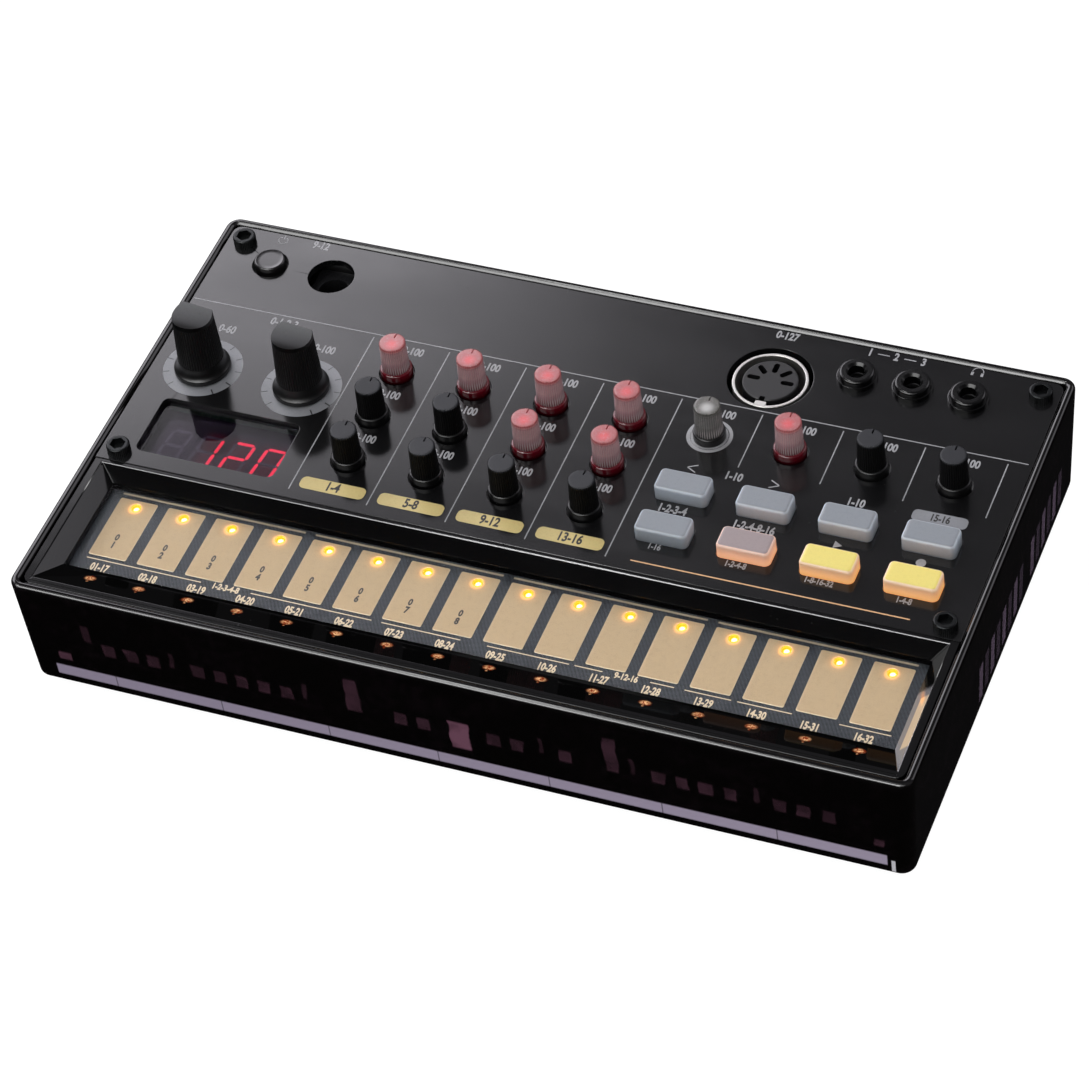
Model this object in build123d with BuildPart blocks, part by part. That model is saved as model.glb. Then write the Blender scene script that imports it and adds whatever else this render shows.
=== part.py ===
"""Compact sixteen-step drum machine: a smoked tray case, a black control panel and a touch keyboard.

Frame: origin on the table under the middle of the case, +X right, +Y to the rear, +Z up, millimetres.
"""

import os
from math import cos, radians, sin

from build123d import *

os.makedirs("parts", exist_ok=True)

# ---- driving dimensions: case ----
case_length = 193.0
case_width = 115.0
case_height = 28.6
case_draft = 1.27  # how far each wall leans in from rim to floor
case_wall = 2.0
case_floor = 2.4
corner_radius = 3.0
foot_edge_radius = 2.4
rim_bevel = 0.6

foot_radius = 5.0
foot_proud = 1.8
foot_bevel = 0.5
foot_spacing_x = case_length - 41.0
foot_spacing_y = case_width - 27.0

# ---- clearances ----
fit_gap = 0.3  # between a moving piece and what it passes
seat_gap = 0.1  # between pieces that stay together
running_gap = 0.05  # radial, a shaft in its bush

# ---- small repeated round features are many-sided prisms ----
round_sides = 16
boss_sides = 12
hole_sides = 8

# ---- panel and keyboard recess ----
panel_thickness = 1.5
panel_drop = 0.5  # rim top down to the panel
panel_front_y = -0.1617 * case_width
bezel_drop = 0.7
recess_depth = 4.0
recess_floor_length = case_length - 14.2
recess_floor_rear_y = panel_front_y - 3.1
recess_floor_front_y = 11.8 - case_width / 2
recess_mouth_length = case_length - 6.4
recess_mouth_rear_y = panel_front_y - 0.7
recess_mouth_front_y = 3.5 - case_width / 2
plate_thickness = 1.6
pad_count = 16
pad_pitch = (recess_floor_length - 2.8) / pad_count
pad_gap = 2.5
pad_rear_y = recess_floor_rear_y - 2.1
pad_front_y = recess_floor_front_y + 5.4
pad_thickness = 0.15
led_y = pad_rear_y - 2.0
led_radius = 0.9
led_well_radius = 1.15
board_thickness = 1.6

# ---- small knobs ----
knob_column_count = 8
knob_column_pitch = case_length / 11
knob_first_x = -2.4 * knob_column_pitch
knob_first_y = 0.1887 * case_width
knob_row_pitch = 0.1165 * case_width
knob_radius = 3.0
knob_height = 9.0  # above the panel
knob_groove = 0.3
knob_rib_count = 12
knob_slot_width = 0.7
knob_slot_depth = 0.6
collar_radius = 3.45
collar_height = 1.9
panel_knob_hole_radius = 3.8

# ---- large knobs ----
large_knob_x = (13.4 - case_length / 2, 36.4 - case_length / 2)
large_knob_y = knob_first_y - 9.7
large_knob_height = 16.1
large_knob_base_radius = 4.95
large_knob_top_radius = 4.35
large_knob_rib_count = 20
large_knob_groove = 0.2
skirt_radius = 6.1
skirt_height = 3.0
skirt_edge = 0.8
dish_radius = 14.0
dish_depth = 0.7
dish_center = -1.6
pointer_flat = 2.8  # the pointer's edge stands this far behind the axis
pointer_drop = 9.0
knob_turn = -6.5
large_bore_radius = 3.0
large_bore_depth = 9.0

# ---- pots ----
pot_length = 9.8
pot_depth = 11.5

# ---- buttons ----
button_shift_x = 0.4  # of each button from its knob column
button_first_y = panel_front_y + 23.6
button_row_pitch = 11.9
button_length = 11.0
button_depth = 5.8
button_proud = 3.2
button_corner = 1.1
button_edge = 0.75
button_flange = 0.8
button_flange_height = 1.0
button_travel = 0.8
switch_size = 6.0
switch_plunger_radius = 1.7

power_x = 14.6 - case_length / 2
power_y = case_width / 2 - 11.9
power_cap_radius = 3.4
power_hole_radius = 4.0
power_proud = 1.6
power_travel = 1.0
power_stem_radius = 1.6
power_switch_size = 7.0

# ---- display ----
window_center_x = 25.1 - case_length / 2
window_center_y = panel_front_y + 12.2
window_length = 31.6
window_depth = 15.9
window_corner = 1.6
window_drop = 2.1  # panel top down to the glass
window_thickness = 1.2
window_margin = 0.5  # how far the glass reaches under the panel

# ---- sockets ----
din_to_jack = 17.4
din_y = case_width / 2 - 16.5
din_hole_radius = 9.05
din_shell_radius = 8.1
din_shell_wall = 1.0
din_insert_radius = 5.95
din_insert_drop = 1.6
din_shell_drop = 0.5
din_pin_circle_radius = 3.75
din_pin_angles = (0.0, 45.0, 90.0, 135.0, 180.0)
din_pin_radius = 0.75
din_pin_depth = 7.0
din_key_width = 2.4
jack_count = 3
jack_pitch = 12.05
jack_side_margin = 20.3  # from the case's end to the last jack
jack_y = case_width / 2 - 11.5
jack_bore_radius = 1.8
jack_bore_depth = 14.0
jack_bush_radius = 3.85
jack_collar_radius = 4.3
jack_collar_height = 1.0
jack_proud = 2.3
jack_edge = 0.7
jack_body = 9.0
dc_x = 29.1 - case_length / 2
dc_y = case_width / 2 - 12.0
dc_hole_radius = 5.1
dc_body_length = 10.6
dc_body_depth = 12.0
dc_body_drop = 2.6
dc_bore_radius = 3.3
dc_bore_depth = 9.0
dc_pin_radius = 0.85
dc_pin_height = 7.0

# ---- panel screws ----
panel_screw_edge_x = 6.2  # from the case's ends
panel_screw_edge_y = 6.6  # from the case's rear
panel_screw_front = 3.2  # behind the panel's front edge
screw_head_radius = 2.75
screw_head_height = 2.8
screw_head_edge = 0.3
screw_socket_width = 2.5
screw_socket_depth = 1.4
screw_radius = 1.5
screw_length = 7.0
screw_hole_radius = 1.7

# ---- chassis ----
chassis_wall = 3.0
chassis_rear_height = 8.0  # of the ring under the panel
chassis_web = 2.0
boss_radius = 2.5
boss_depth = 7.5
case_boss_radius = 3.4
case_boss_x = case_length / 2 - 8.3
case_boss_rear_y = case_width / 2 - 19.5
case_boss_front_y = 11.5 - case_width / 2
case_post_radius = 4.4
case_post_top = 14.0
case_screw_head_radius = 2.7
case_screw_head_height = 1.9
case_screw_recess_radius = 3.1
case_screw_recess = 3.8
case_screw_length = 15.0

# ---- boards ----
control_board_z = 21.0  # underside
control_board_margin = 7.5  # from the case's ends
control_board_front_y = panel_front_y + 3.2
control_board_rear_y = din_y - din_shell_radius - 1.3
jack_board_drop = 15.4  # panel's underside down to the board's
jack_board_margin = 14.5  # from the case's ends
jack_board_depth = 19.2
jack_board_rear_y = case_width / 2 - 4.5
standoff_width = 5.0
board_notch = 5.5  # cut from the control board's front corners, round the screw bosses

# ---- battery bay ----
cell_radius = 7.1
cell_length = 49.0
cell_nub_radius = 2.7
cell_nub = 1.5
cell_pitch = 14.8
cell_rows = 3
cell_columns = 2
contact_space = 2.5  # at each end of a row of cells
contact_thickness = 0.5
contact_width = 8.0
bay_side_margin = 7.5  # from the case's end to the bay
bay_post_gap = 2.5  # from the bay's wall to the rear case posts
bay_wall = 1.2
door_margin = 2.0
door_pin_radius = 0.7
door_pin_length = 1.6
door_slit_width = 0.8
door_slit_length = 7.0
door_tongue_width = 14.0
finger_radius = 7.0
finger_depth = 1.2

# ---- speaker ----
speaker_x = 42.5 - case_length / 2
speaker_radius = 18.0
speaker_rim = 1.6
speaker_depth = 12.5
magnet_radius = 9.5
magnet_height = 4.5
cone_clearance = 0.3
cone_thickness = 1.0
grille_slot_width = 2.0
grille_pitch = 4.0
grille_count = 7

# ---- derived heights ----
case_z = foot_proud
rim_z = case_z + case_height
floor_z = case_z + case_floor
panel_z = rim_z - panel_drop
panel_under_z = panel_z - panel_thickness
bezel_z = rim_z - bezel_drop
recess_z = rim_z - recess_depth
plate_under_z = recess_z - plate_thickness
key_board_top_z = plate_under_z - pad_thickness
key_board_z = key_board_top_z - board_thickness
chassis_z = panel_under_z - chassis_rear_height
jack_board_z = panel_under_z - jack_board_drop
control_top_z = control_board_z + board_thickness
jack_top_z = jack_board_z + board_thickness
pot_top_z = panel_under_z - fit_gap
collar_z = pot_top_z + fit_gap


def inside_half(outside, z):
    """Half of the case's inner size at height z, along a side whose outer size at the rim is given."""
    return outside / 2 - case_wall - case_draft * (rim_z - z) / case_height


chassis_half_x = inside_half(case_length, chassis_z) - seat_gap
chassis_half_y = inside_half(case_width, chassis_z) - seat_gap
key_board_half_x = inside_half(case_length, key_board_z) - seat_gap
key_board_front_y = seat_gap - inside_half(case_width, key_board_z)
control_board_length = case_length - 2 * control_board_margin
jack_board_length = case_length - 2 * jack_board_margin
jack_board_front_y = jack_board_rear_y - jack_board_depth
panel_half_x = inside_half(case_length, panel_under_z) - seat_gap
panel_rear_y = inside_half(case_width, panel_under_z) - seat_gap
bezel_half_x = inside_half(case_length, key_board_top_z) - seat_gap
bezel_front_y = -inside_half(case_width, key_board_top_z) + seat_gap
bezel_rear_y = panel_front_y - seat_gap

# ---- derived places ----
knob_columns = [knob_first_x + knob_column_pitch * i for i in range(knob_column_count)]
knob_rows = [knob_first_y - knob_row_pitch * i for i in range(3)]
knob_names = {
    (0, 0): "kick_click_knob",
    (0, 1): "kick_pitch_knob",
    (0, 2): "kick_decay_knob",
    (1, 0): "snare_snap_knob",
    (1, 1): "snare_pitch_knob",
    (1, 2): "snare_decay_knob",
    (2, 0): "tom_low_pitch_knob",
    (2, 1): "tom_high_pitch_knob",
    (2, 2): "tom_decay_knob",
    (3, 0): "hat_closed_decay_knob",
    (3, 1): "hat_open_decay_knob",
    (3, 2): "hat_grain_knob",
    (4, 0): "sample_speed_knob",
    (5, 0): "tempo_knob",
    (6, 0): "part_level_knob",
    (7, 0): "volume_knob",
}
small_knobs = {name: (knob_columns[c], knob_rows[r]) for (c, r), name in knob_names.items()}
large_knobs = {"left": (large_knob_x[0], large_knob_y), "right": (large_knob_x[1], large_knob_y)}
pot_places = list(small_knobs.values()) + list(large_knobs.values())
button_names = (
    ("part_back_button", "part_next_button", "mute_button", "function_button"),
    ("memory_button", "step_mode_button", "play_button", "record_button"),
)
buttons = {
    name: (knob_columns[c + knob_column_count // 2] + button_shift_x, button_first_y - button_row_pitch * r)
    for r, row in enumerate(button_names)
    for c, name in enumerate(row)
}
pads_x = [pad_pitch * (i - (pad_count - 1) / 2) for i in range(pad_count)]
jack_x = [case_length / 2 - jack_side_margin - jack_pitch * i for i in reversed(range(jack_count))]
din_x = jack_x[0] - din_to_jack
panel_screws_xy = [
    (sx * (case_length / 2 - panel_screw_edge_x), y)
    for y in (case_width / 2 - panel_screw_edge_y, panel_front_y + panel_screw_front)
    for sx in (-1, 1)
]
feet_xy = [(sx * foot_spacing_x / 2, sy * foot_spacing_y / 2) for sx in (-1, 1) for sy in (-1, 1)]
case_bosses_xy = [(sx * case_boss_x, y) for sx in (-1, 1) for y in (case_boss_front_y, case_boss_rear_y)]

control_standoffs_xy = [
    ((standoff_width - control_board_length) / 2, control_board_front_y + 2 * board_notch),
    ((standoff_width - control_board_length) / 2, control_board_rear_y - standoff_width / 2),
    (speaker_x + speaker_radius + standoff_width, control_board_front_y + standoff_width / 2),
]

cells_length = cell_columns * (cell_length + cell_nub)
bay_half_x = cells_length / 2 + contact_space
bay_half_y = (cell_pitch * (cell_rows - 1) + 2 * cell_radius + 2 * fit_gap) / 2
bay_center_x = case_length / 2 - bay_side_margin - bay_half_x
bay_center_y = case_boss_rear_y - case_post_radius - bay_post_gap - bay_wall - bay_half_y
speaker_y = bay_center_y
cell_z = floor_z + fit_gap + cell_radius
bay_ceiling_z = cell_z + cell_radius + fit_gap
cell_rows_y = [bay_center_y + cell_pitch * (i - (cell_rows - 1) / 2) for i in range(cell_rows)]
door_half_x = bay_half_x - door_margin
door_half_y = bay_half_y - door_margin
hinge_radius = case_floor / 2
hinge_y = bay_center_y + door_half_y - fit_gap - hinge_radius
hinge_z = case_z + hinge_radius


def finish(part, label):
    """Name a piece and write it."""
    part.label = label
    export_step(part, f"parts/{label}.step")


# ---- case ----
with BuildPart() as bottom_case:
    with BuildSketch(Plane.XY.offset(case_z)):
        RectangleRounded(case_length - 2 * case_draft, case_width - 2 * case_draft, corner_radius)
    with BuildSketch(Plane.XY.offset(rim_z - rim_bevel)):
        RectangleRounded(case_length, case_width, corner_radius)
    loft()
    fillet(bottom_case.faces().sort_by(Axis.Z)[0].edges(), foot_edge_radius)
    # the bevel round the rim
    for inset in (0, rim_bevel):
        with BuildSketch(Plane.XY.offset(rim_z - rim_bevel + inset)):
            RectangleRounded(case_length - 2 * inset, case_width - 2 * inset, corner_radius - inset)
    loft()
    # the hollow
    for z in (floor_z, rim_z):
        with BuildSketch(Plane.XY.offset(z)):
            RectangleRounded(
                2 * inside_half(case_length, z), 2 * inside_half(case_width, z), corner_radius - case_wall / 2
            )
    loft(mode=Mode.SUBTRACT)
    # posts for the case screws and for both boards
    with BuildSketch(Plane.XY.offset(floor_z)):
        with Locations(*case_bosses_xy):
            RegularPolygon(case_post_radius, boss_sides, major_radius=False)
    extrude(amount=case_post_top - floor_z)
    with BuildSketch(Plane.XY.offset(floor_z)):
        with Locations((0, jack_board_rear_y - standoff_width / 2)):
            with GridLocations(jack_board_length - standoff_width, standoff_width, 2, 1):
                Rectangle(standoff_width, standoff_width)
    extrude(amount=jack_board_z - floor_z)
    with BuildSketch(Plane.XY.offset(floor_z)):
        with Locations(*control_standoffs_xy):
            Rectangle(standoff_width, standoff_width)
    extrude(amount=control_board_z - floor_z)
    # screw wells and holes
    with BuildSketch(Plane.XY.offset(case_z)):
        with Locations(*case_bosses_xy):
            RegularPolygon(case_screw_recess_radius, boss_sides, major_radius=False)
    extrude(amount=case_screw_recess, mode=Mode.SUBTRACT)
    with BuildSketch(Plane.XY.offset(case_z)):
        with Locations(*case_bosses_xy):
            RegularPolygon(screw_hole_radius, hole_sides, major_radius=False)
    extrude(amount=case_post_top - case_z, mode=Mode.SUBTRACT)
    # battery opening, its hinge holes and the finger hollow
    with BuildSketch(Plane.XY.offset(case_z)):
        with Locations((bay_center_x, bay_center_y)):
            Rectangle(2 * door_half_x, 2 * door_half_y)
    extrude(amount=case_floor, mode=Mode.SUBTRACT)
    with Locations(Location((bay_center_x, hinge_y, hinge_z), (0, 90, 0))):
        Cylinder(
            door_pin_radius + running_gap, 2 * (door_half_x + door_pin_length + seat_gap), mode=Mode.SUBTRACT
        )
    with BuildSketch(Plane.XY.offset(case_z)):
        with Locations((bay_center_x, bay_center_y - door_half_y)):
            Circle(finger_radius)
    extrude(amount=finger_depth, mode=Mode.SUBTRACT)
    # speaker grille
    with BuildSketch(Plane.XY.offset(case_z)):
        for i in range(grille_count):
            offset_y = grille_pitch * (i - (grille_count - 1) / 2)
            chord = ((speaker_radius - 2 * speaker_rim) ** 2 - offset_y**2) ** 0.5
            with Locations((speaker_x, speaker_y + offset_y)):
                Rectangle(2 * chord, grille_slot_width)
    extrude(amount=case_floor, mode=Mode.SUBTRACT)
finish(bottom_case.part, "bottom_case")

with BuildPart() as rubber_feet:
    with BuildSketch(Plane.XY):
        with Locations(*feet_xy):
            RegularPolygon(foot_radius, round_sides)
    extrude(amount=foot_proud)
    chamfer(rubber_feet.edges().group_by(Axis.Z)[0], foot_bevel)
finish(rubber_feet.part, "rubber_feet")

with BuildPart() as case_screws:
    case_screw_z = case_z + case_screw_recess
    with BuildSketch(Plane.XY.offset(case_screw_z)):
        with Locations(*case_bosses_xy):
            RegularPolygon(case_screw_head_radius, boss_sides)
    extrude(amount=-case_screw_head_height)
    with BuildSketch(Plane.XY.offset(case_screw_z)):
        with Locations(*case_bosses_xy):
            RegularPolygon(screw_radius, hole_sides)
    extrude(amount=case_screw_length)
    with BuildSketch(Plane.XY.offset(case_screw_z - case_screw_head_height)):
        with Locations(*case_bosses_xy):
            Rectangle(screw_radius * 2, screw_radius / 2)
            Rectangle(screw_radius / 2, screw_radius * 2)
    extrude(amount=case_screw_head_height / 2, mode=Mode.SUBTRACT)
finish(case_screws.part, "case_screws")

# ---- chassis ----
web_rear_y = panel_front_y + chassis_web
with BuildPart() as top_chassis:
    with BuildSketch(Plane.XY.offset(chassis_z)) as chassis_outline:
        Rectangle(2 * chassis_half_x, 2 * chassis_half_y)
        chamfer(chassis_outline.vertices(), corner_radius - case_wall / 2)
        Rectangle(2 * (chassis_half_x - chassis_wall), 2 * (chassis_half_y - chassis_wall), mode=Mode.SUBTRACT)
        with Locations((0, web_rear_y)):
            Rectangle(2 * chassis_half_x, chassis_web, align=(Align.CENTER, Align.MAX))
    extrude(amount=panel_under_z - chassis_z)
    with BuildSketch(Plane.XY.offset(panel_under_z)):
        with Locations(*panel_screws_xy):
            RegularPolygon(boss_radius, boss_sides)
    extrude(amount=-boss_depth)
    # room for the keyboard board and its bezel
    with BuildSketch(Plane.XY.offset(key_board_z)):
        with Locations((0, panel_front_y)):
            Rectangle(2 * case_length, case_width, align=(Align.CENTER, Align.MAX))
    extrude(amount=panel_under_z - key_board_z, mode=Mode.SUBTRACT)
    # legs down to the case posts
    for x, y in case_bosses_xy:
        leg_top = panel_under_z if y > panel_front_y else key_board_z
        with BuildSketch(Plane.XY.offset(case_post_top)):
            with Locations((x, y)):
                RegularPolygon(case_boss_radius, boss_sides)
        extrude(amount=leg_top - case_post_top)
    with BuildSketch(Plane.XY.offset(case_post_top)):
        with Locations(*case_bosses_xy):
            RegularPolygon(screw_radius + running_gap, hole_sides)
    extrude(amount=case_z + case_screw_recess + case_screw_length - case_post_top, mode=Mode.SUBTRACT)
    with BuildSketch(Plane.XY.offset(panel_under_z)):
        with Locations(*panel_screws_xy):
            RegularPolygon(screw_radius + running_gap, hole_sides)
    extrude(amount=-screw_length, mode=Mode.SUBTRACT)
finish(top_chassis.part, "top_chassis")

# ---- front panel ----
with BuildPart() as front_panel:
    with BuildSketch(Plane.XY.offset(panel_under_z)) as panel_outline:
        with Locations((0, panel_front_y)):
            Rectangle(2 * panel_half_x, panel_rear_y - panel_front_y, align=(Align.CENTER, Align.MIN))
        chamfer(panel_outline.vertices().group_by(Axis.Y)[-1], corner_radius - case_wall / 2)
        with Locations(*pot_places):
            RegularPolygon(panel_knob_hole_radius, round_sides, major_radius=False, mode=Mode.SUBTRACT)
        with Locations(*buttons.values()):
            Rectangle(button_length + 2 * fit_gap, button_depth + 2 * fit_gap, mode=Mode.SUBTRACT)
        with Locations((window_center_x, window_center_y)):
            RectangleRounded(window_length, window_depth, window_corner, mode=Mode.SUBTRACT)
        with Locations((power_x, power_y)):
            Circle(power_hole_radius, mode=Mode.SUBTRACT)
        with Locations((dc_x, dc_y)):
            Circle(dc_hole_radius, mode=Mode.SUBTRACT)
        with Locations((din_x, din_y)):
            Circle(din_hole_radius, mode=Mode.SUBTRACT)
        with Locations(*[(x, jack_y) for x in jack_x]):
            RegularPolygon(jack_bush_radius + seat_gap, round_sides, major_radius=False, mode=Mode.SUBTRACT)
        with Locations(*panel_screws_xy):
            RegularPolygon(screw_hole_radius, hole_sides, major_radius=False, mode=Mode.SUBTRACT)
    extrude(amount=panel_thickness)
finish(front_panel.part, "front_panel")

with BuildPart() as panel_screws:
    with BuildSketch(Plane.XY.offset(panel_z)):
        with Locations(*panel_screws_xy):
            RegularPolygon(screw_head_radius, round_sides)
    extrude(amount=screw_head_height)
    chamfer(panel_screws.edges().group_by(Axis.Z)[-1], screw_head_edge)
    with BuildSketch(Plane.XY.offset(panel_z + screw_head_height)):
        with Locations(*panel_screws_xy):
            RegularPolygon(screw_socket_width / 2, 6, major_radius=False)
    extrude(amount=-screw_socket_depth, mode=Mode.SUBTRACT)
    with BuildSketch(Plane.XY.offset(panel_z)):
        with Locations(*panel_screws_xy):
            RegularPolygon(screw_radius, hole_sides)
    extrude(amount=-screw_length)
finish(panel_screws.part, "panel_screws")

# ---- keyboard ----
with BuildPart() as keyboard_bezel:
    with BuildSketch(Plane.XY.offset(key_board_top_z)) as bezel_outline:
        with Locations((0, bezel_rear_y)):
            Rectangle(2 * bezel_half_x, bezel_rear_y - bezel_front_y, align=(Align.CENTER, Align.MAX))
        chamfer(bezel_outline.vertices().group_by(Axis.Y)[0], corner_radius - case_wall / 2)
    extrude(amount=bezel_z - key_board_top_z)
    # the well with four sloped walls
    with BuildSketch(Plane.XY.offset(recess_z)):
        with Locations((0, recess_floor_rear_y)):
            Rectangle(
                recess_floor_length, recess_floor_rear_y - recess_floor_front_y, align=(Align.CENTER, Align.MAX)
            )
    with BuildSketch(Plane.XY.offset(bezel_z)):
        with Locations((0, recess_mouth_rear_y)):
            Rectangle(
                recess_mouth_length, recess_mouth_rear_y - recess_mouth_front_y, align=(Align.CENTER, Align.MAX)
            )
    loft(mode=Mode.SUBTRACT)
    # the opening that the clear plate fills
    with BuildSketch(Plane.XY.offset(key_board_top_z)):
        with Locations((0, recess_floor_rear_y)):
            Rectangle(
                recess_floor_length, recess_floor_rear_y - recess_floor_front_y, align=(Align.CENTER, Align.MAX)
            )
    extrude(amount=recess_z - key_board_top_z, mode=Mode.SUBTRACT)
finish(keyboard_bezel.part, "keyboard_bezel")

with BuildPart() as touch_plate:
    with BuildSketch(Plane.XY.offset(plate_under_z)):
        with Locations((0, recess_floor_rear_y - seat_gap)):
            Rectangle(
                recess_floor_length - 2 * seat_gap,
                recess_floor_rear_y - recess_floor_front_y - 2 * seat_gap,
                align=(Align.CENTER, Align.MAX),
            )
    extrude(amount=plate_thickness)
finish(touch_plate.part, "touch_plate")

with BuildPart() as keyboard_board:
    with BuildSketch(Plane.XY.offset(key_board_z)) as board_outline:
        with Locations((0, bezel_rear_y)):
            Rectangle(2 * key_board_half_x, bezel_rear_y - key_board_front_y, align=(Align.CENTER, Align.MAX))
        chamfer(board_outline.vertices().group_by(Axis.Y)[0], corner_radius - case_wall / 2)
        with Locations(*[(x, led_y) for x in pads_x]):
            Rectangle(2 * led_well_radius, 2 * led_well_radius, mode=Mode.SUBTRACT)
    extrude(amount=board_thickness)
finish(keyboard_board.part, "keyboard_board")

with BuildPart() as touch_pads:
    with BuildSketch(Plane.XY.offset(key_board_top_z)):
        with Locations(*[(x, pad_rear_y) for x in pads_x]):
            Rectangle(pad_pitch - pad_gap, pad_rear_y - pad_front_y, align=(Align.CENTER, Align.MAX))
        with Locations(*[(x, led_y) for x in pads_x]):
            RegularPolygon(led_well_radius, hole_sides, major_radius=False, mode=Mode.SUBTRACT)
    extrude(amount=pad_thickness)
finish(touch_pads.part, "touch_pads")

with BuildPart() as step_leds:
    with BuildSketch(Plane.XY.offset(key_board_z)):
        with Locations(*[(x, led_y) for x in pads_x]):
            Rectangle(2 * led_radius, 2 * led_radius)
    extrude(amount=board_thickness)
finish(step_leds.part, "step_leds")

# ---- boards, pots and switches ----
with BuildPart() as control_board:
    with BuildSketch(Plane.XY.offset(control_board_z)):
        with Locations((0, control_board_front_y)):
            Rectangle(
                control_board_length, control_board_rear_y - control_board_front_y, align=(Align.CENTER, Align.MIN)
            )
            with GridLocations(control_board_length, board_notch, 2, 1):
                Rectangle(2 * board_notch, 2 * board_notch, mode=Mode.SUBTRACT)
    extrude(amount=board_thickness)
finish(control_board.part, "control_board")

with BuildPart() as jack_board:
    with BuildSketch(Plane.XY.offset(jack_board_z)):
        with Locations((0, jack_board_front_y)):
            Rectangle(jack_board_length, jack_board_rear_y - jack_board_front_y, align=(Align.CENTER, Align.MIN))
    extrude(amount=board_thickness)
finish(jack_board.part, "jack_board")

with BuildPart() as pot_bodies:
    with BuildSketch(Plane.XY.offset(control_top_z)):
        with Locations(*pot_places):
            Rectangle(pot_length, pot_depth)
    extrude(amount=pot_top_z - control_top_z)
finish(pot_bodies.part, "pot_bodies")

button_flange_top_z = panel_under_z - fit_gap
button_flange_z = button_flange_top_z - button_flange_height
switch_top_z = button_flange_z - button_travel - fit_gap
with BuildPart() as button_switches:
    with BuildSketch(Plane.XY.offset(control_top_z)):
        with Locations(*buttons.values()):
            Rectangle(switch_size, switch_size)
    extrude(amount=(switch_top_z - control_top_z) * 0.7)
    with BuildSketch(Plane.XY.offset(control_top_z)):
        with Locations(*buttons.values()):
            Rectangle(2 * switch_plunger_radius, 2 * switch_plunger_radius)
    extrude(amount=switch_top_z - control_top_z)
finish(button_switches.part, "button_switches")

power_flange_z = panel_under_z - fit_gap - button_flange_height
power_stem_z = jack_top_z + (power_flange_z - jack_top_z) / 2
with BuildPart() as power_switch:
    with BuildSketch(Plane.XY.offset(jack_top_z)):
        with Locations((power_x, power_y)):
            Rectangle(power_switch_size, power_switch_size)
    extrude(amount=power_stem_z - power_travel - fit_gap - jack_top_z)
finish(power_switch.part, "power_switch")

# ---- display ----
window_z = panel_z - window_drop
with BuildPart() as display_window:
    with BuildSketch(Plane.XY.offset(window_z - window_thickness)):
        with Locations((window_center_x, window_center_y)):
            RectangleRounded(window_length + 2 * window_margin, window_depth + 2 * window_margin, window_corner)
    extrude(amount=window_thickness)
finish(display_window.part, "display_window")

with BuildPart() as display_module:
    with BuildSketch(Plane.XY.offset(control_top_z)):
        with Locations((window_center_x, window_center_y)):
            Rectangle(window_length - seat_gap, window_depth - 2 * seat_gap)
    extrude(amount=window_z - window_thickness - control_top_z)
finish(display_module.part, "display_module")

# ---- sockets ----
din_top_z = panel_z - din_shell_drop
with BuildPart() as din_shell:
    with BuildSketch(Plane.XY.offset(jack_top_z)):
        with Locations((din_x, din_y)):
            Circle(din_shell_radius)
            Circle(din_shell_radius - din_shell_wall, mode=Mode.SUBTRACT)
        with Locations((din_x, din_y - din_insert_radius - seat_gap)):
            Rectangle(
                din_key_width,
                din_shell_radius - din_insert_radius - din_shell_wall / 2,
                align=(Align.CENTER, Align.MAX),
            )
    extrude(amount=din_top_z - jack_top_z)
finish(din_shell.part, "din_shell")

with BuildPart() as din_insert:
    with BuildSketch(Plane.XY.offset(jack_top_z)):
        with Locations((din_x, din_y)):
            Circle(din_insert_radius)
    extrude(amount=din_top_z - din_insert_drop - jack_top_z)
    with BuildSketch(Plane.XY.offset(din_top_z - din_insert_drop)):
        with Locations(
            *[
                (
                    din_x + din_pin_circle_radius * cos(radians(angle)),
                    din_y + din_pin_circle_radius * sin(radians(angle)),
                )
                for angle in din_pin_angles
            ]
        ):
            RegularPolygon(din_pin_radius, hole_sides)
    extrude(amount=-din_pin_depth, mode=Mode.SUBTRACT)
finish(din_insert.part, "din_insert")

jack_top = panel_z + jack_proud
with BuildPart() as audio_jacks:
    with BuildSketch(Plane.XY.offset(jack_top_z)):
        with Locations(*[(x, jack_y) for x in jack_x]):
            Rectangle(jack_body, jack_body)
    extrude(amount=panel_under_z - seat_gap - jack_top_z)
    with BuildSketch(Plane.XY.offset(panel_under_z - seat_gap)):
        with Locations(*[(x, jack_y) for x in jack_x]):
            RegularPolygon(jack_bush_radius, round_sides)
    extrude(amount=jack_top - panel_under_z + seat_gap)
    chamfer(audio_jacks.edges().group_by(Axis.Z)[-1], jack_edge)
    with BuildSketch(Plane.XY.offset(panel_z)):
        with Locations(*[(x, jack_y) for x in jack_x]):
            RegularPolygon(jack_collar_radius, round_sides)
    extrude(amount=jack_collar_height)
    with BuildSketch(Plane.XY.offset(jack_top)):
        with Locations(*[(x, jack_y) for x in jack_x]):
            Circle(jack_bore_radius)
    extrude(amount=-jack_bore_depth, mode=Mode.SUBTRACT)
finish(audio_jacks.part, "audio_jacks")

dc_top_z = panel_under_z - dc_body_drop
with BuildPart() as dc_jack:
    with BuildSketch(Plane.XY.offset(jack_top_z)):
        with Locations((dc_x, dc_y)):
            Rectangle(dc_body_length, dc_body_depth)
    extrude(amount=dc_top_z - jack_top_z)
    with BuildSketch(Plane.XY.offset(dc_top_z)):
        with Locations((dc_x, dc_y)):
            Circle(dc_bore_radius)
    extrude(amount=-dc_bore_depth, mode=Mode.SUBTRACT)
finish(dc_jack.part, "dc_jack")

with BuildPart() as dc_pin:
    with BuildSketch(Plane.XY.offset(dc_top_z - dc_bore_depth)):
        with Locations((dc_x, dc_y)):
            Circle(dc_pin_radius)
    extrude(amount=dc_pin_height)
finish(dc_pin.part, "dc_pin")


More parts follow.
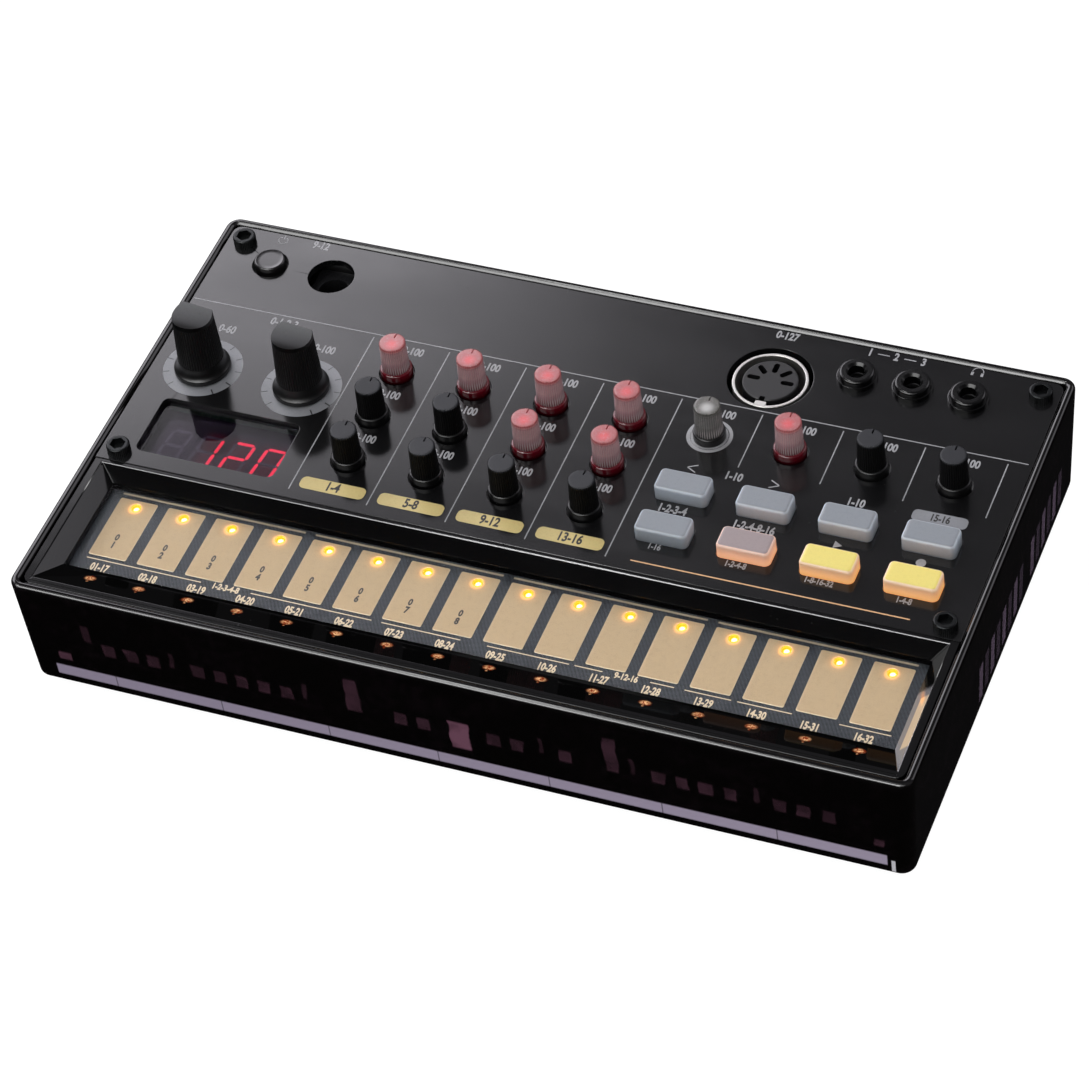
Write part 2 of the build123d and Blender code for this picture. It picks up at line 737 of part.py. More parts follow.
# ---- knobs ----
def ribbed_outline(radius, groove, ribs, turn=0.0):
    """Corner points of a ring with one V-shaped groove between each two ribs."""
    points = []
    for i in range(2 * ribs):
        angle = radians(turn + 180.0 * i / ribs)
        r = radius - groove * (i % 2)
        points.append((r * cos(angle), r * sin(angle)))
    return points


crown_z = panel_z + knob_height
for name, (x, y) in small_knobs.items():
    with BuildPart() as small_knob:
        with BuildSketch(Plane.XY.offset(collar_z)):
            with Locations((x, y)):
                RegularPolygon(collar_radius, round_sides)
        extrude(amount=panel_z + collar_height - collar_z)
        with BuildSketch(Plane.XY.offset(panel_z + collar_height)):
            with Locations((x, y)):
                Polygon(*ribbed_outline(knob_radius, knob_groove, knob_rib_count), align=None)
        extrude(amount=knob_height - collar_height)
        with BuildSketch(Plane.XY.offset(crown_z)):
            with Locations((x, y)):
                Rectangle(knob_slot_width, 2 * knob_radius, align=(Align.CENTER, Align.MIN))
        extrude(amount=-knob_slot_depth, mode=Mode.SUBTRACT)
    finish(small_knob.part, name)

skirt_z = panel_z + fit_gap
large_top_z = panel_z + large_knob_height
for side, (x, y) in large_knobs.items():
    with BuildPart() as large_knob:
        with BuildSketch(Plane.XY.offset(skirt_z)):
            with Locations((x, y)):
                Circle(skirt_radius)
        extrude(amount=skirt_height)
        chamfer(large_knob.edges().group_by(Axis.Z)[-1], skirt_edge)
        for z, radius in ((skirt_z + skirt_height, large_knob_base_radius), (large_top_z, large_knob_top_radius)):
            with BuildSketch(Plane.XY.offset(z)):
                with Locations((x, y)):
                    Polygon(*ribbed_outline(radius, large_knob_groove, large_knob_rib_count), align=None)
        loft(ruled=True)
        # the top is dished for the finger, and a steep flat behind it makes the pointer's edge
        across = (cos(radians(knob_turn)), sin(radians(knob_turn)), 0)
        along = (-across[1], across[0], 0)
        with BuildSketch(Plane((x, y, large_top_z), x_dir=along, z_dir=across)):
            with Locations((dish_center, dish_radius - dish_depth)):
                Circle(dish_radius)
            with BuildLine():
                Polyline(
                    (pointer_flat, dish_depth),
                    (pointer_flat, 0),
                    (skirt_radius, -pointer_drop),
                    (skirt_radius, dish_depth),
                    close=True,
                )
            make_face()
        extrude(amount=skirt_radius, both=True, mode=Mode.SUBTRACT)
        with BuildSketch(Plane.XY.offset(skirt_z)):
            with Locations((x, y)):
                RegularPolygon(large_bore_radius + seat_gap, boss_sides)
        extrude(amount=large_bore_depth, mode=Mode.SUBTRACT)
    finish(large_knob.part, f"large_knob_{side}")

    with BuildPart() as pot_shaft:
        with BuildSketch(Plane.XY.offset(collar_z)):
            with Locations((x, y)):
                RegularPolygon(large_bore_radius, boss_sides)
        extrude(amount=skirt_z + large_bore_depth - seat_gap - collar_z)
    finish(pot_shaft.part, f"pot_shaft_{side}")

# ---- buttons ----
for name, (x, y) in buttons.items():
    with BuildPart() as button:
        with BuildSketch(Plane.XY.offset(button_flange_z)):
            with Locations((x, y)):
                Rectangle(button_length + 2 * button_flange, button_depth + 2 * button_flange)
        extrude(amount=button_flange_height)
        with BuildSketch(Plane.XY.offset(button_flange_top_z)):
            with Locations((x, y)):
                Rectangle(button_length, button_depth)
        extrude(amount=panel_z + button_proud - button_flange_top_z)
        chamfer(button.edges().filter_by(Axis.Z).group_by(Axis.Z)[-1], button_corner)
        chamfer(button.edges().group_by(Axis.Z)[-1], button_edge)
    finish(button.part, name)

with BuildPart() as power_button:
    with BuildSketch(Plane.XY.offset(power_stem_z)):
        with Locations((power_x, power_y)):
            RegularPolygon(power_stem_radius, hole_sides)
    extrude(amount=power_flange_z - power_stem_z)
    with BuildSketch(Plane.XY.offset(power_flange_z)):
        with Locations((power_x, power_y)):
            RegularPolygon(power_cap_radius + button_flange + fit_gap, boss_sides)
    extrude(amount=button_flange_height)
    with BuildSketch(Plane.XY.offset(power_flange_z + button_flange_height)):
        with Locations((power_x, power_y)):
            Circle(power_cap_radius)
    extrude(amount=panel_z + power_proud - power_flange_z - button_flange_height)
    chamfer(power_button.edges().group_by(Axis.Z)[-1], button_edge / 2)
finish(power_button.part, "power_button")

# ---- battery bay ----
with BuildPart() as battery_tray:
    with BuildSketch(Plane.XY.offset(floor_z)):
        with Locations((bay_center_x, bay_center_y)):
            Rectangle(2 * (bay_half_x + bay_wall), 2 * (bay_half_y + bay_wall))
    extrude(amount=bay_ceiling_z + bay_wall - floor_z)
    with BuildSketch(Plane.XY.offset(floor_z)):
        with Locations((bay_center_x, bay_center_y)):
            Rectangle(2 * bay_half_x, 2 * bay_half_y)
    extrude(amount=bay_ceiling_z - floor_z, mode=Mode.SUBTRACT)
    # pads that hold the control board
    with BuildSketch(Plane.XY.offset(bay_ceiling_z + bay_wall)):
        with Locations((bay_center_x, bay_center_y)):
            with GridLocations(bay_half_x, 2 * bay_half_y - standoff_width, 2, 2):
                Rectangle(standoff_width, standoff_width)
    extrude(amount=control_board_z - bay_ceiling_z - bay_wall)
finish(battery_tray.part, "battery_tray")

with BuildPart() as battery_cells:
    for row, y in enumerate(cell_rows_y):
        facing = 1 if row % 2 == 0 else -1
        for column in range(cell_columns):
            start_x = bay_center_x - facing * (cells_length / 2 - column * (cell_length + cell_nub))
            with BuildSketch(Plane((start_x, y, cell_z), z_dir=(facing, 0, 0))):
                RegularPolygon(cell_radius, round_sides)
            extrude(amount=cell_length)
            with BuildSketch(Plane((start_x, y, cell_z), z_dir=(facing, 0, 0))):
                RegularPolygon(cell_nub_radius, hole_sides)
            extrude(amount=cell_length + cell_nub)
finish(battery_cells.part, "battery_cells")

with BuildPart() as battery_contacts:
    for side in (-1, 1):
        wall_x = bay_center_x + side * bay_half_x
        for y in cell_rows_y:
            with BuildSketch(Plane((wall_x, y, cell_z), z_dir=(-side, 0, 0))):
                Rectangle(contact_width, contact_width)
            extrude(amount=contact_thickness)
            # a bowed leaf reaches the cell
            with BuildSketch(Plane.XY.offset(cell_z - contact_width / 4)):
                with BuildLine():
                    leaf_x = wall_x - side * contact_thickness
                    Polyline(
                        (leaf_x, y - contact_width / 2),
                        (wall_x - side * contact_space, y),
                        (leaf_x, y + contact_width / 2),
                        (leaf_x, y + contact_width / 2 - contact_thickness),
                        (wall_x - side * (contact_space - contact_thickness), y),
                        (leaf_x, y - contact_width / 2 + contact_thickness),
                        close=True,
                    )
                make_face()
            extrude(amount=contact_width / 2)
finish(battery_contacts.part, "battery_contacts")

with BuildPart() as battery_door:
    with BuildSketch(Plane.XY.offset(case_z)):
        with Locations((bay_center_x, bay_center_y - door_half_y + fit_gap)):
            Rectangle(
                2 * (door_half_x - fit_gap),
                hinge_y - (bay_center_y - door_half_y + fit_gap),
                align=(Align.CENTER, Align.MIN),
            )
    extrude(amount=case_floor)
    with Locations(Location((bay_center_x, hinge_y, hinge_z), (0, 90, 0))):
        Cylinder(hinge_radius, 2 * (door_half_x - fit_gap))
        Cylinder(door_pin_radius, 2 * (door_half_x + door_pin_length))
    # slits free the snap tongue
    with BuildSketch(Plane.XY.offset(case_z)):
        for side in (-1, 1):
            with Locations((bay_center_x + side * door_tongue_width / 2, bay_center_y - door_half_y + fit_gap)):
                Rectangle(door_slit_width, door_slit_length, align=(Align.CENTER, Align.MIN))
    extrude(amount=case_floor, mode=Mode.SUBTRACT)
finish(battery_door.part, "battery_door")

# ---- speaker ----
with BuildPart() as speaker_frame:
    with BuildSketch(Plane.XZ.offset(-speaker_y)):
        with BuildLine():
            Polyline(
                (speaker_x + speaker_radius - speaker_rim, floor_z),
                (speaker_x + speaker_radius, floor_z),
                (speaker_x + magnet_radius, floor_z + speaker_depth - magnet_height),
                (speaker_x + magnet_radius, floor_z + speaker_depth),
                (speaker_x, floor_z + speaker_depth),
                (speaker_x, floor_z + speaker_depth - magnet_height - speaker_rim),
                (speaker_x + magnet_radius - speaker_rim, floor_z + speaker_depth - magnet_height - speaker_rim),
                close=True,
            )
        make_face()
    revolve(axis=Axis((speaker_x, speaker_y, 0), (0, 0, 1)))
finish(speaker_frame.part, "speaker_frame")

with BuildPart() as speaker_cone:
    cone_rim = speaker_radius - speaker_rim - 2 * cone_clearance
    cone_top_z = floor_z + speaker_depth - magnet_height - speaker_rim - cone_clearance
    with BuildSketch(Plane.XZ.offset(-speaker_y)):
        with BuildLine():
            Polyline(
                (speaker_x, cone_top_z),
                (speaker_x + cone_rim, floor_z + cone_clearance),
                (speaker_x, cone_top_z - cone_thickness),
                close=True,
            )
        make_face()
    revolve(axis=Axis((speaker_x, speaker_y, 0), (0, 0, 1)))
finish(speaker_cone.part, "speaker_cone")
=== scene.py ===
"""Sixteen-step drum machine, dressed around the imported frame. Pieces are modelled in millimetres."""

from math import atan2, cos, hypot, pi, radians, sin

import bmesh
import bpy
from mathutils import Matrix, Vector


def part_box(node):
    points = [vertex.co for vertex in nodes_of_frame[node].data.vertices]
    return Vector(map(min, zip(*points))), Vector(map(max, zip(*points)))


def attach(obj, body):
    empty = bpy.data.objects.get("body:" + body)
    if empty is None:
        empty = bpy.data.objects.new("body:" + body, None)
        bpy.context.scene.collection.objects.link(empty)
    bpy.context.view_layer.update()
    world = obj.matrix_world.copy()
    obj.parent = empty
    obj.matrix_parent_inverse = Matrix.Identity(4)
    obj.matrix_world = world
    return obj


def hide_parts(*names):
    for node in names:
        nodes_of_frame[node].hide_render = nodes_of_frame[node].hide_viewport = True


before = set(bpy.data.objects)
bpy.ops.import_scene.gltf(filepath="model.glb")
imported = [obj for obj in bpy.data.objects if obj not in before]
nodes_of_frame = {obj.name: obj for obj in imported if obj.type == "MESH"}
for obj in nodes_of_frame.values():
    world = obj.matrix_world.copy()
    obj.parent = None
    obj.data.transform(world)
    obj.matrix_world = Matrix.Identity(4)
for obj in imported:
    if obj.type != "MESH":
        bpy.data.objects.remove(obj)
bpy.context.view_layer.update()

scene = bpy.context.scene

MM = 0.001

# ---- heights and sizes that the pieces share, in millimetres ----
CASE_WIDTH = 193.0
CASE_DEPTH = 115.0
RIM_Z = 30.4
PANEL_Z = 29.9
PANEL_UNDER_Z = 28.4
BEZEL_Z = 29.7
PLATE_Z = 26.4
CASE_Z = 1.8
FLOOR_Z = 4.2
INK = 0.03  # how far printed ink stands up
PAD_PITCH = 11.0
PADS_X = [PAD_PITCH * (i - 7.5) for i in range(16)]


def low_high(node):
    """Corners of a CAD node in millimetres."""
    low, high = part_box(node)
    return Vector(low) / MM, Vector(high) / MM


def middle(node):
    """Centre of a CAD node seen from above, in millimetres."""
    low, high = low_high(node)
    return (low.x + high.x) / 2, (low.y + high.y) / 2


PAD_FRONT_Y, PAD_REAR_Y = (corner.y for corner in low_high("touch_pads"))
LED_Y = middle("step_leds")[1]


def tone(red, green, blue):
    """A display colour, 0 to 255, as the linear colour a shader takes."""
    linear = []
    for value in (red, green, blue):
        value /= 255
        linear.append(value / 12.92 if value <= 0.04045 else ((value + 0.055) / 1.055) ** 2.4)
    return (*linear, 1.0)


# ---- camera, lights and floor ----
camera_data = bpy.data.cameras.new("camera")
camera_data.lens = 139.6
camera_data.sensor_width = 36.0
camera_data.clip_end = 20
camera = bpy.data.objects.new("camera", camera_data)
camera.location = (0.270515, -0.544577, 0.648862)
camera.rotation_euler = (radians(43.38177), radians(5.40635), radians(20.90360))
scene.collection.objects.link(camera)
scene.camera = camera
scene.view_settings.view_transform = "Standard"


def lamp(name, place, aim, size_x, size_y, power, colour=(1, 1, 1)):
    """A soft box at place, turned to aim, in metres and watts."""
    data = bpy.data.lights.new(name, "AREA")
    data.shape = "RECTANGLE"
    data.size = size_x
    data.size_y = size_y
    data.energy = power
    data.color = colour
    made = bpy.data.objects.new(name, data)
    made.location = place
    made.rotation_euler = (Vector(aim) - Vector(place)).to_track_quat("-Z", "Y").to_euler()
    scene.collection.objects.link(made)
    return made


lamp("top_strip", (-0.38, -0.02, 1.2), (0, 0, 0), 1.0, 0.1, 3.9)
lamp("front_box", (0.15, -0.92, 0.82), (0, 0, 0.02), 1.2, 0.35, 3.2)
edge_strip = lamp("edge_strip", (-0.36, -0.78, 0.80), (0, 0, 0), 1.3, 0.65, 16.0)
edge_strip.visible_diffuse = False


# ---- shader tools ----
BLACK = (0, 0, 0, 1)
DUST_GREY = tone(150, 148, 145)
DARK_DUST = tone(120, 118, 116)
GRAIN_DEPTH = 0.00005  # metres
DUST_SCALE = 700.0


class Value:
    """A socket's value. Sums written with it become Math nodes in its tree."""

    def __init__(self, socket):
        self.socket = socket
        self.tree = socket.id_data

    def __add__(self, other):
        return maths("ADD", self, other)

    def __sub__(self, other):
        return maths("SUBTRACT", self, other)

    def __mul__(self, other):
        return maths("MULTIPLY", self, other)

    def __truediv__(self, other):
        return maths("DIVIDE", self, other)

    def __pow__(self, other):
        return maths("POWER", self, other)

    def __abs__(self):
        return maths("ABSOLUTE", self)


def feed(socket, value):
    """Link a socket or set its value."""
    if isinstance(value, Value):
        value = value.socket
    if isinstance(value, bpy.types.NodeSocket):
        socket.id_data.links.new(value, socket)
    else:
        socket.default_value = value


def put(node, **values):
    """Feed a node's inputs, named with underscores for spaces, or in0, in1 by number."""
    for key, value in values.items():
        index = int(key[2:]) if key[:2] == "in" and key[2:].isdigit() else key.replace("_", " ")
        feed(node.inputs[index], value)


def add_node(tree, kind, settings=None, **values):
    """A node with its settings and its inputs."""
    made = tree.nodes.new(kind)
    for key, value in (settings or {}).items():
        setattr(made, key, value)
    put(made, **values)
    return made


def maths(operation, *terms):
    """One Math node's result."""
    values = {f"in{i}": term for i, term in enumerate(terms)}
    return Value(add_node(terms[0].tree, "ShaderNodeMath", {"operation": operation}, **values).outputs[0])


def ramp(value, low, high, to_low=0.0, to_high=1.0, smooth=False):
    """Map Range, clamped."""
    settings = {"interpolation_type": "SMOOTHSTEP" if smooth else "LINEAR"}
    values = {"in0": value, "in1": low, "in2": high, "in3": to_low, "in4": to_high}
    return Value(add_node(value.tree, "ShaderNodeMapRange", settings, **values).outputs[0])


def blend(share, first, second):
    """Two colours mixed by a share."""
    tree = next(one.tree for one in (share, first, second) if isinstance(one, Value))
    made = add_node(tree, "ShaderNodeMix", {"data_type": "RGBA"}, in0=share, in6=first, in7=second)
    return Value(made.outputs[2])


def object_place(tree):
    """The piece's own coordinates, in metres."""
    return add_node(tree, "ShaderNodeTexCoord").outputs["Object"]


def noise(tree, **values):
    """A cloud from 0 to 1 over the piece's own coordinates, unless another place is given."""
    values.setdefault("Vector", object_place(tree))
    return Value(add_node(tree, "ShaderNodeTexNoise", **values).outputs["Fac"])


def axes(tree, vector):
    """X, Y and Z of a vector."""
    return [Value(socket) for socket in add_node(tree, "ShaderNodeSeparateXYZ", in0=vector).outputs]


def start_effect(name, inputs, outputs):
    """A node group with named numbers in and numbers out."""
    group = bpy.data.node_groups.new(name, "ShaderNodeTree")
    for label, value in inputs:
        socket = group.interface.new_socket(label, in_out="INPUT", socket_type="NodeSocketFloat")
        socket.default_value = value
    for label in outputs:
        group.interface.new_socket(label, in_out="OUTPUT", socket_type="NodeSocketFloat")
    sockets = group.nodes.new("NodeGroupInput").outputs
    return group, {label: Value(sockets[label]) for label, value in inputs}, group.nodes.new("NodeGroupOutput")


def make_moulded_grain():
    """Fine spark-eroded grain: a height, and a mask of the low spots."""
    group, given, result = start_effect(
        "moulded_grain", [("Scale", 6000.0), ("Contrast", 0.5)], ["Height", "Low spots"]
    )
    fine = noise(group, Scale=given["Scale"], Detail=3.0, Roughness=0.6)
    coarse = noise(group, Scale=given["Scale"] * 0.23, Detail=2.0)
    height = fine * 0.65 + coarse * 0.35
    put(result, Height=height, Low_spots=ramp(height, 0.36, 0.5, 1.0, 0.0) * given["Contrast"])
    return group


def make_handling_marks():
    """Slow change of gloss where hands and cloths have wiped: a roughness."""
    group, given, result = start_effect(
        "handling_marks", [("Glossy", 0.2), ("Dull", 0.3), ("Scale", 40.0)], ["Roughness"]
    )
    values = {"Vector": object_place(group), "Scale": (0.45, 1.0, 1.0), "Rotation": (0, 0, 0.5)}
    streaked = add_node(group, "ShaderNodeMapping", **values).outputs[0]
    cloud = noise(group, Vector=streaked, Scale=given["Scale"], Detail=5.0, Roughness=0.62)
    share = ramp(cloud, 0.32, 0.68, smooth=True)
    put(result, Roughness=share * (given["Dull"] - given["Glossy"]) + given["Glossy"])
    return group


def make_dust():
    """Sparse specks of dust: a mask."""
    group, given, result = start_effect("dust", [("Scale", 900.0), ("Amount", 0.5)], ["Specks"])
    cells = add_node(group, "ShaderNodeTexVoronoi", Vector=object_place(group), Scale=given["Scale"])
    size = ramp(Value(cells.outputs["Distance"]), 0.05, 0.16, 1.0, 0.0, smooth=True)
    chosen = ramp(axes(group, cells.outputs["Color"])[0], 0.9, 0.93)
    patches = ramp(noise(group, Scale=30.0, Detail=2.0), 0.4, 0.7)
    put(result, Specks=size * chosen * patches * given["Amount"])
    return group


moulded_grain = make_moulded_grain()
handling_marks = make_handling_marks()
dust = make_dust()


def use_effect(tree, group, **values):
    """The results of a group placed in a material with its own values."""
    made = add_node(tree, "ShaderNodeGroup", {"node_tree": group}, **values)
    return [Value(socket) for socket in made.outputs]


def speckle(tree, scale, contrast):
    """The moulded grain's height and its low spots."""
    return use_effect(tree, moulded_grain, Scale=scale, Contrast=contrast)


def dusted(tree, colour, amount, dust_colour=DUST_GREY):
    """A colour under sparse specks of dust."""
    return blend(use_effect(tree, dust, Scale=DUST_SCALE, Amount=amount)[0], colour, dust_colour)


def wiped(tree, glossy, dull):
    """A roughness that changes slowly between two values."""
    return use_effect(tree, handling_marks, Glossy=glossy, Dull=dull)[0]


def start_material(name, **fixed):
    """A material, its tree and its Principled shader, with the values that don't change over the surface."""
    material = bpy.data.materials.new(name)
    material.use_nodes = True
    shader = material.node_tree.nodes["Principled BSDF"]
    put(shader, **fixed)
    return material, material.node_tree, shader


def bump(tree, height, strength, distance=GRAIN_DEPTH):
    """A normal roughened by a height."""
    return add_node(tree, "ShaderNodeBump", Strength=strength, Distance=distance, Height=height).outputs[0]


def moulded(name, colour, glossy, dull, grain=5000.0, relief=0.15, speck=0.25, **fixed):
    """Moulded plastic or paint: a grain, a slow change of gloss and a little dust."""
    material, tree, shader = start_material(name, **fixed)
    height, low_spots = speckle(tree, grain, 0.35)
    darker = tuple(c * 0.72 for c in colour[:3]) + (1.0,)
    put(
        shader,
        Base_Color=dusted(tree, blend(low_spots, colour, darker), speck),
        Roughness=wiped(tree, glossy, dull),
        Normal=bump(tree, height, relief),
    )
    return material


# ---- finishes ----
panel_satin = moulded("panel_satin_black", tone(18, 18, 19), 0.12, 0.18, grain=9000.0, relief=0.05, speck=0.12)
frame_gloss = moulded(
    "frame_gloss_black", tone(11, 11, 12), 0.05, 0.11, grain=3000.0, relief=0.02, speck=0.1, Specular_IOR_Level=0.4
)


def make_slope_black():
    """Polished front slope of the tray, with a broken amber painted reflection of each step lamp."""
    material, tree, shader = start_material("tray_slope_black", Specular_IOR_Level=0.03)
    x, y, _ = axes(tree, object_place(tree))
    put(shader, Base_Color=dusted(tree, tone(5, 5, 5), 0.05), Roughness=wiped(tree, 0.02, 0.04))
    # painted reflections of the step lamps, set in emission on the slope
    half = PAD_PITCH / 2 * MM
    across = maths("WRAP", x - (PADS_X[0] + PAINTED_GLINT_X) * MM, half, -half)
    ahead = y - PAINTED_GLINT_Y * MM
    swirl = noise(tree, Scale=1500.0, Detail=3.0, Distortion=1.5)
    half_width, half_depth = 0.00142, 0.00108
    away = maths("SQRT", (across / half_width) ** 2 + (ahead / half_depth) ** 2) + swirl * 0.9
    painted_lamp_glint = ramp(away, 0.95, 1.5, 1.0, 0.0, smooth=True)
    bright = ramp(swirl, 0.42, 0.62, smooth=True)
    colour = blend(bright, tone(130, 40, 6), tone(255, 196, 140))
    # a small painted reflection in front of each one
    drop_y = y - (PAINTED_GLINT_Y - 1.35) * MM
    painted_glint_drop = ramp(across * across + drop_y * drop_y, 2e-8, 9e-8, 0.8, 0.0)
    painted_lamp_glint = maths("MAXIMUM", painted_lamp_glint, painted_glint_drop)
    put(shader, Emission_Color=blend(painted_lamp_glint, BLACK, colour), Emission_Strength=0.95)
    return material


PAINTED_GLINT_X, PAINTED_GLINT_Y = 0.9, -49.1
slope_black = make_slope_black()
collar_black = moulded(
    "collar_black", tone(13, 13, 14), 0.26, 0.38, grain=7000.0, relief=0.08, Specular_IOR_Level=0.4
)
socket_black = moulded(
    "socket_black", tone(9, 9, 10), 0.14, 0.24, grain=7000.0, relief=0.08, Specular_IOR_Level=0.35
)
dc_shell = moulded("dc_shell_black", tone(38, 38, 40), 0.12, 0.22, grain=7000.0, relief=0.08)
insert_black = moulded("insert_black", tone(12, 12, 14), 0.3, 0.45, grain=9000.0, relief=0.2)
power_satin = moulded("power_button_satin", tone(24, 23, 24), 0.12, 0.22, grain=9000.0, relief=0.08)
foot_rubber = moulded("foot_rubber_grey", tone(34, 34, 36), 0.6, 0.8, grain=4000.0, relief=0.5)
chassis_black = moulded("chassis_black", tone(20, 20, 21), 0.4, 0.55, grain=5000.0, relief=0.3)
screw_black = moulded(
    "screw_black_oxide", tone(30, 32, 33), 0.24, 0.36, grain=9000.0, relief=0.25, speck=0.1, Metallic=0.75
)
plated = moulded("plated_metal", tone(186, 187, 190), 0.14, 0.3, grain=7000.0, relief=0.12, speck=0.1, Metallic=1.0)
din_metal = moulded("din_metal", tone(200, 198, 194), 0.3, 0.42, grain=7000.0, relief=0.12, speck=0.1, Metallic=1.0)
contact_metal = moulded(
    "contact_metal", tone(108, 108, 110), 0.3, 0.42, grain=7000.0, relief=0.12, speck=0.1, Metallic=1.0
)
pot_steel = moulded("pot_steel", tone(150, 150, 150), 0.3, 0.45, grain=5000.0, relief=0.2, Metallic=0.9)
cell_wrap = moulded("cell_wrap_grey", tone(70, 72, 78), 0.25, 0.35, grain=5000.0, relief=0.1)
paper = moulded("speaker_paper", tone(44, 42, 40), 0.75, 0.9, grain=2500.0, relief=0.6)
tray_black = moulded("tray_black", tone(24, 24, 26), 0.4, 0.55, grain=4000.0, relief=0.3)


def make_board(name, colour):
    """A bare circuit board: a woven glass sheet under its lacquer, with fine tracks."""
    material, tree, shader = start_material(name)
    x, y, _ = axes(tree, object_place(tree))
    tracks = maths("PINGPONG", x + maths("SNAP", y, 0.004), 0.0009)
    line = ramp(tracks, 0.0001, 0.00022, 0.35, 0.0)
    put(shader, Base_Color=blend(line, colour, tone(95, 120, 90)), Roughness=wiped(tree, 0.28, 0.4))
    height = speckle(tree, 2500.0, 0.3)[0]
    put(shader, Normal=bump(tree, height, 0.2))
    return material


green_board = make_board("green_board", tone(22, 66, 44))


def make_weave_board():
    """Dark slate board: a close diagonal weave under a satin lacquer."""
    material, tree, shader = start_material("woven_slate_board", Specular_IOR_Level=0.2)
    x, y, _ = axes(tree, object_place(tree))
    pitch = 0.00085
    across = (x + y * 0.62) / pitch
    along = (y - x * 0.3) / (pitch * 1.6)
    warp = maths("SINE", across * (2 * pi))
    weft = maths("SINE", along * (2 * pi))
    thread = warp * 0.35 + (weft * 0.12 + 0.5)
    height = speckle(tree, 1500.0, 1.0)[0]
    mixed = height * 0.35 + thread * 0.75
    share = ramp(mixed, 0.25, 0.9)
    put(
        shader,
        Base_Color=blend(share, tone(24, 27, 31), tone(42, 46, 51)),
        Roughness=wiped(tree, 0.3, 0.45),
        Normal=bump(tree, mixed, 0.2, 0.00006),
    )
    return material


weave_board = make_weave_board()


def make_pad_tan():
    """Tan touch pads: a fine speckle, and a painted amber glow of the lamp near the rear of each."""
    material, tree, shader = start_material("pad_tan")
    x, y, _ = axes(tree, object_place(tree))
    height, low_spots = speckle(tree, 3500.0, 0.8)
    base = blend(low_spots, tone(219, 203, 171), tone(208, 191, 159))
    put(shader, Base_Color=base, Roughness=wiped(tree, 0.42, 0.55), Normal=bump(tree, height, 0.12, 0.00004))
    # distance from the nearest lamp
    step = PAD_PITCH * MM
    offset = maths("PINGPONG", x, step / 2) - step / 2
    away_y = y - (LED_Y - 0.3) * MM
    away = maths("SQRT", offset * offset + away_y * away_y)
    painted_lamp_core = ramp(away, 0.0011, 0.0019, 1.0, 0.0, smooth=True)
    painted_lamp_halo = ramp(away, 0.0012, 0.0034, 0.1, 0.0, smooth=True)
    # painted light of the lamp on the pad, set in emission
    glow = painted_lamp_core * 0.5 + painted_lamp_halo
    amber = blend(painted_lamp_core, tone(255, 160, 30), tone(255, 190, 60))
    put(shader, Emission_Color=blend(glow, BLACK, amber), Emission_Strength=0.6)
    return material


pad_tan = make_pad_tan()


def glowing(name, colour, strength, **fixed):
    """A lamp's own light, a little uneven."""
    material, tree, shader = start_material(name, **fixed)
    low_spots = speckle(tree, 1800.0, 0.6)[1]
    dimmer = tuple(c * 0.8 for c in colour[:3]) + (1.0,)
    uneven = blend(low_spots, colour, dimmer)
    put(shader, Emission_Color=uneven, Base_Color=uneven, Emission_Strength=strength, Roughness=0.3)
    return material


led_amber = glowing("step_lamp_amber", tone(255, 208, 96), 8.0)
# the well gives off a painted orange glow of the lamp it holds
lamp_well_painted_glow = moulded(
    "lamp_well_brown_painted_glow",
    tone(150, 92, 16),
    0.3,
    0.4,
    grain=6000.0,
    speck=0.0,
    Emission_Color=tone(255, 165, 35),
    Emission_Strength=1.2,
)
digit_red = glowing("digit_red", tone(255, 30, 66), 0.95)
digit_off = moulded("digit_unlit", tone(44, 37, 49), 0.4, 0.5, grain=1200.0, relief=0.02, speck=0.0)


def make_clear(name, colour, gloss, tint_shadow):
    """Thin clear moulding: its body hardly bends light, its polished skin carries the gloss."""
    material, tree, shader = start_material(
        name,
        Base_Color=colour,
        Transmission_Weight=1.0,
        IOR=1.02,
        Roughness=0.0,
        Coat_Weight=gloss,
        Coat_IOR=1.4,
        Coat_Roughness=0.03,
    )
    in_shadow = add_node(tree, "ShaderNodeLightPath").outputs["Is Shadow Ray"]
    passing = add_node(tree, "ShaderNodeBsdfTransparent", Color=tint_shadow).outputs[0]
    either = add_node(tree, "ShaderNodeMixShader", in0=in_shadow, in1=shader.outputs[0], in2=passing)
    put(tree.nodes["Material Output"], Surface=either.outputs[0])
    return material


plate_clear = make_clear("touch_plate_clear", tone(252, 252, 252), 0.15, (0.95, 0.95, 0.95, 1))
window_smoke = make_clear("display_window_smoke", tone(186, 178, 192), 0.55, (0.5, 0.46, 0.53, 1))


# columns and rows of small knobs, as the caps' shader repeats them
COLUMN_PITCH = CASE_WIDTH / 11
ROW_PITCH = 0.1165 * CASE_DEPTH
COLUMN_0 = -2.4 * COLUMN_PITCH
ROW_0 = 0.1887 * CASE_DEPTH


def around_knob(tree):
    """X and Y from the nearest small knob's axis, and Z, in metres."""
    x, y, z = axes(tree, object_place(tree))
    half_x, half_y = COLUMN_PITCH / 2 * MM, ROW_PITCH / 2 * MM
    local_x = maths("WRAP", x - COLUMN_0 * MM, half_x, -half_x)
    local_y = maths("WRAP", y - ROW_0 * MM, half_y, -half_y)
    return local_x, local_y, z


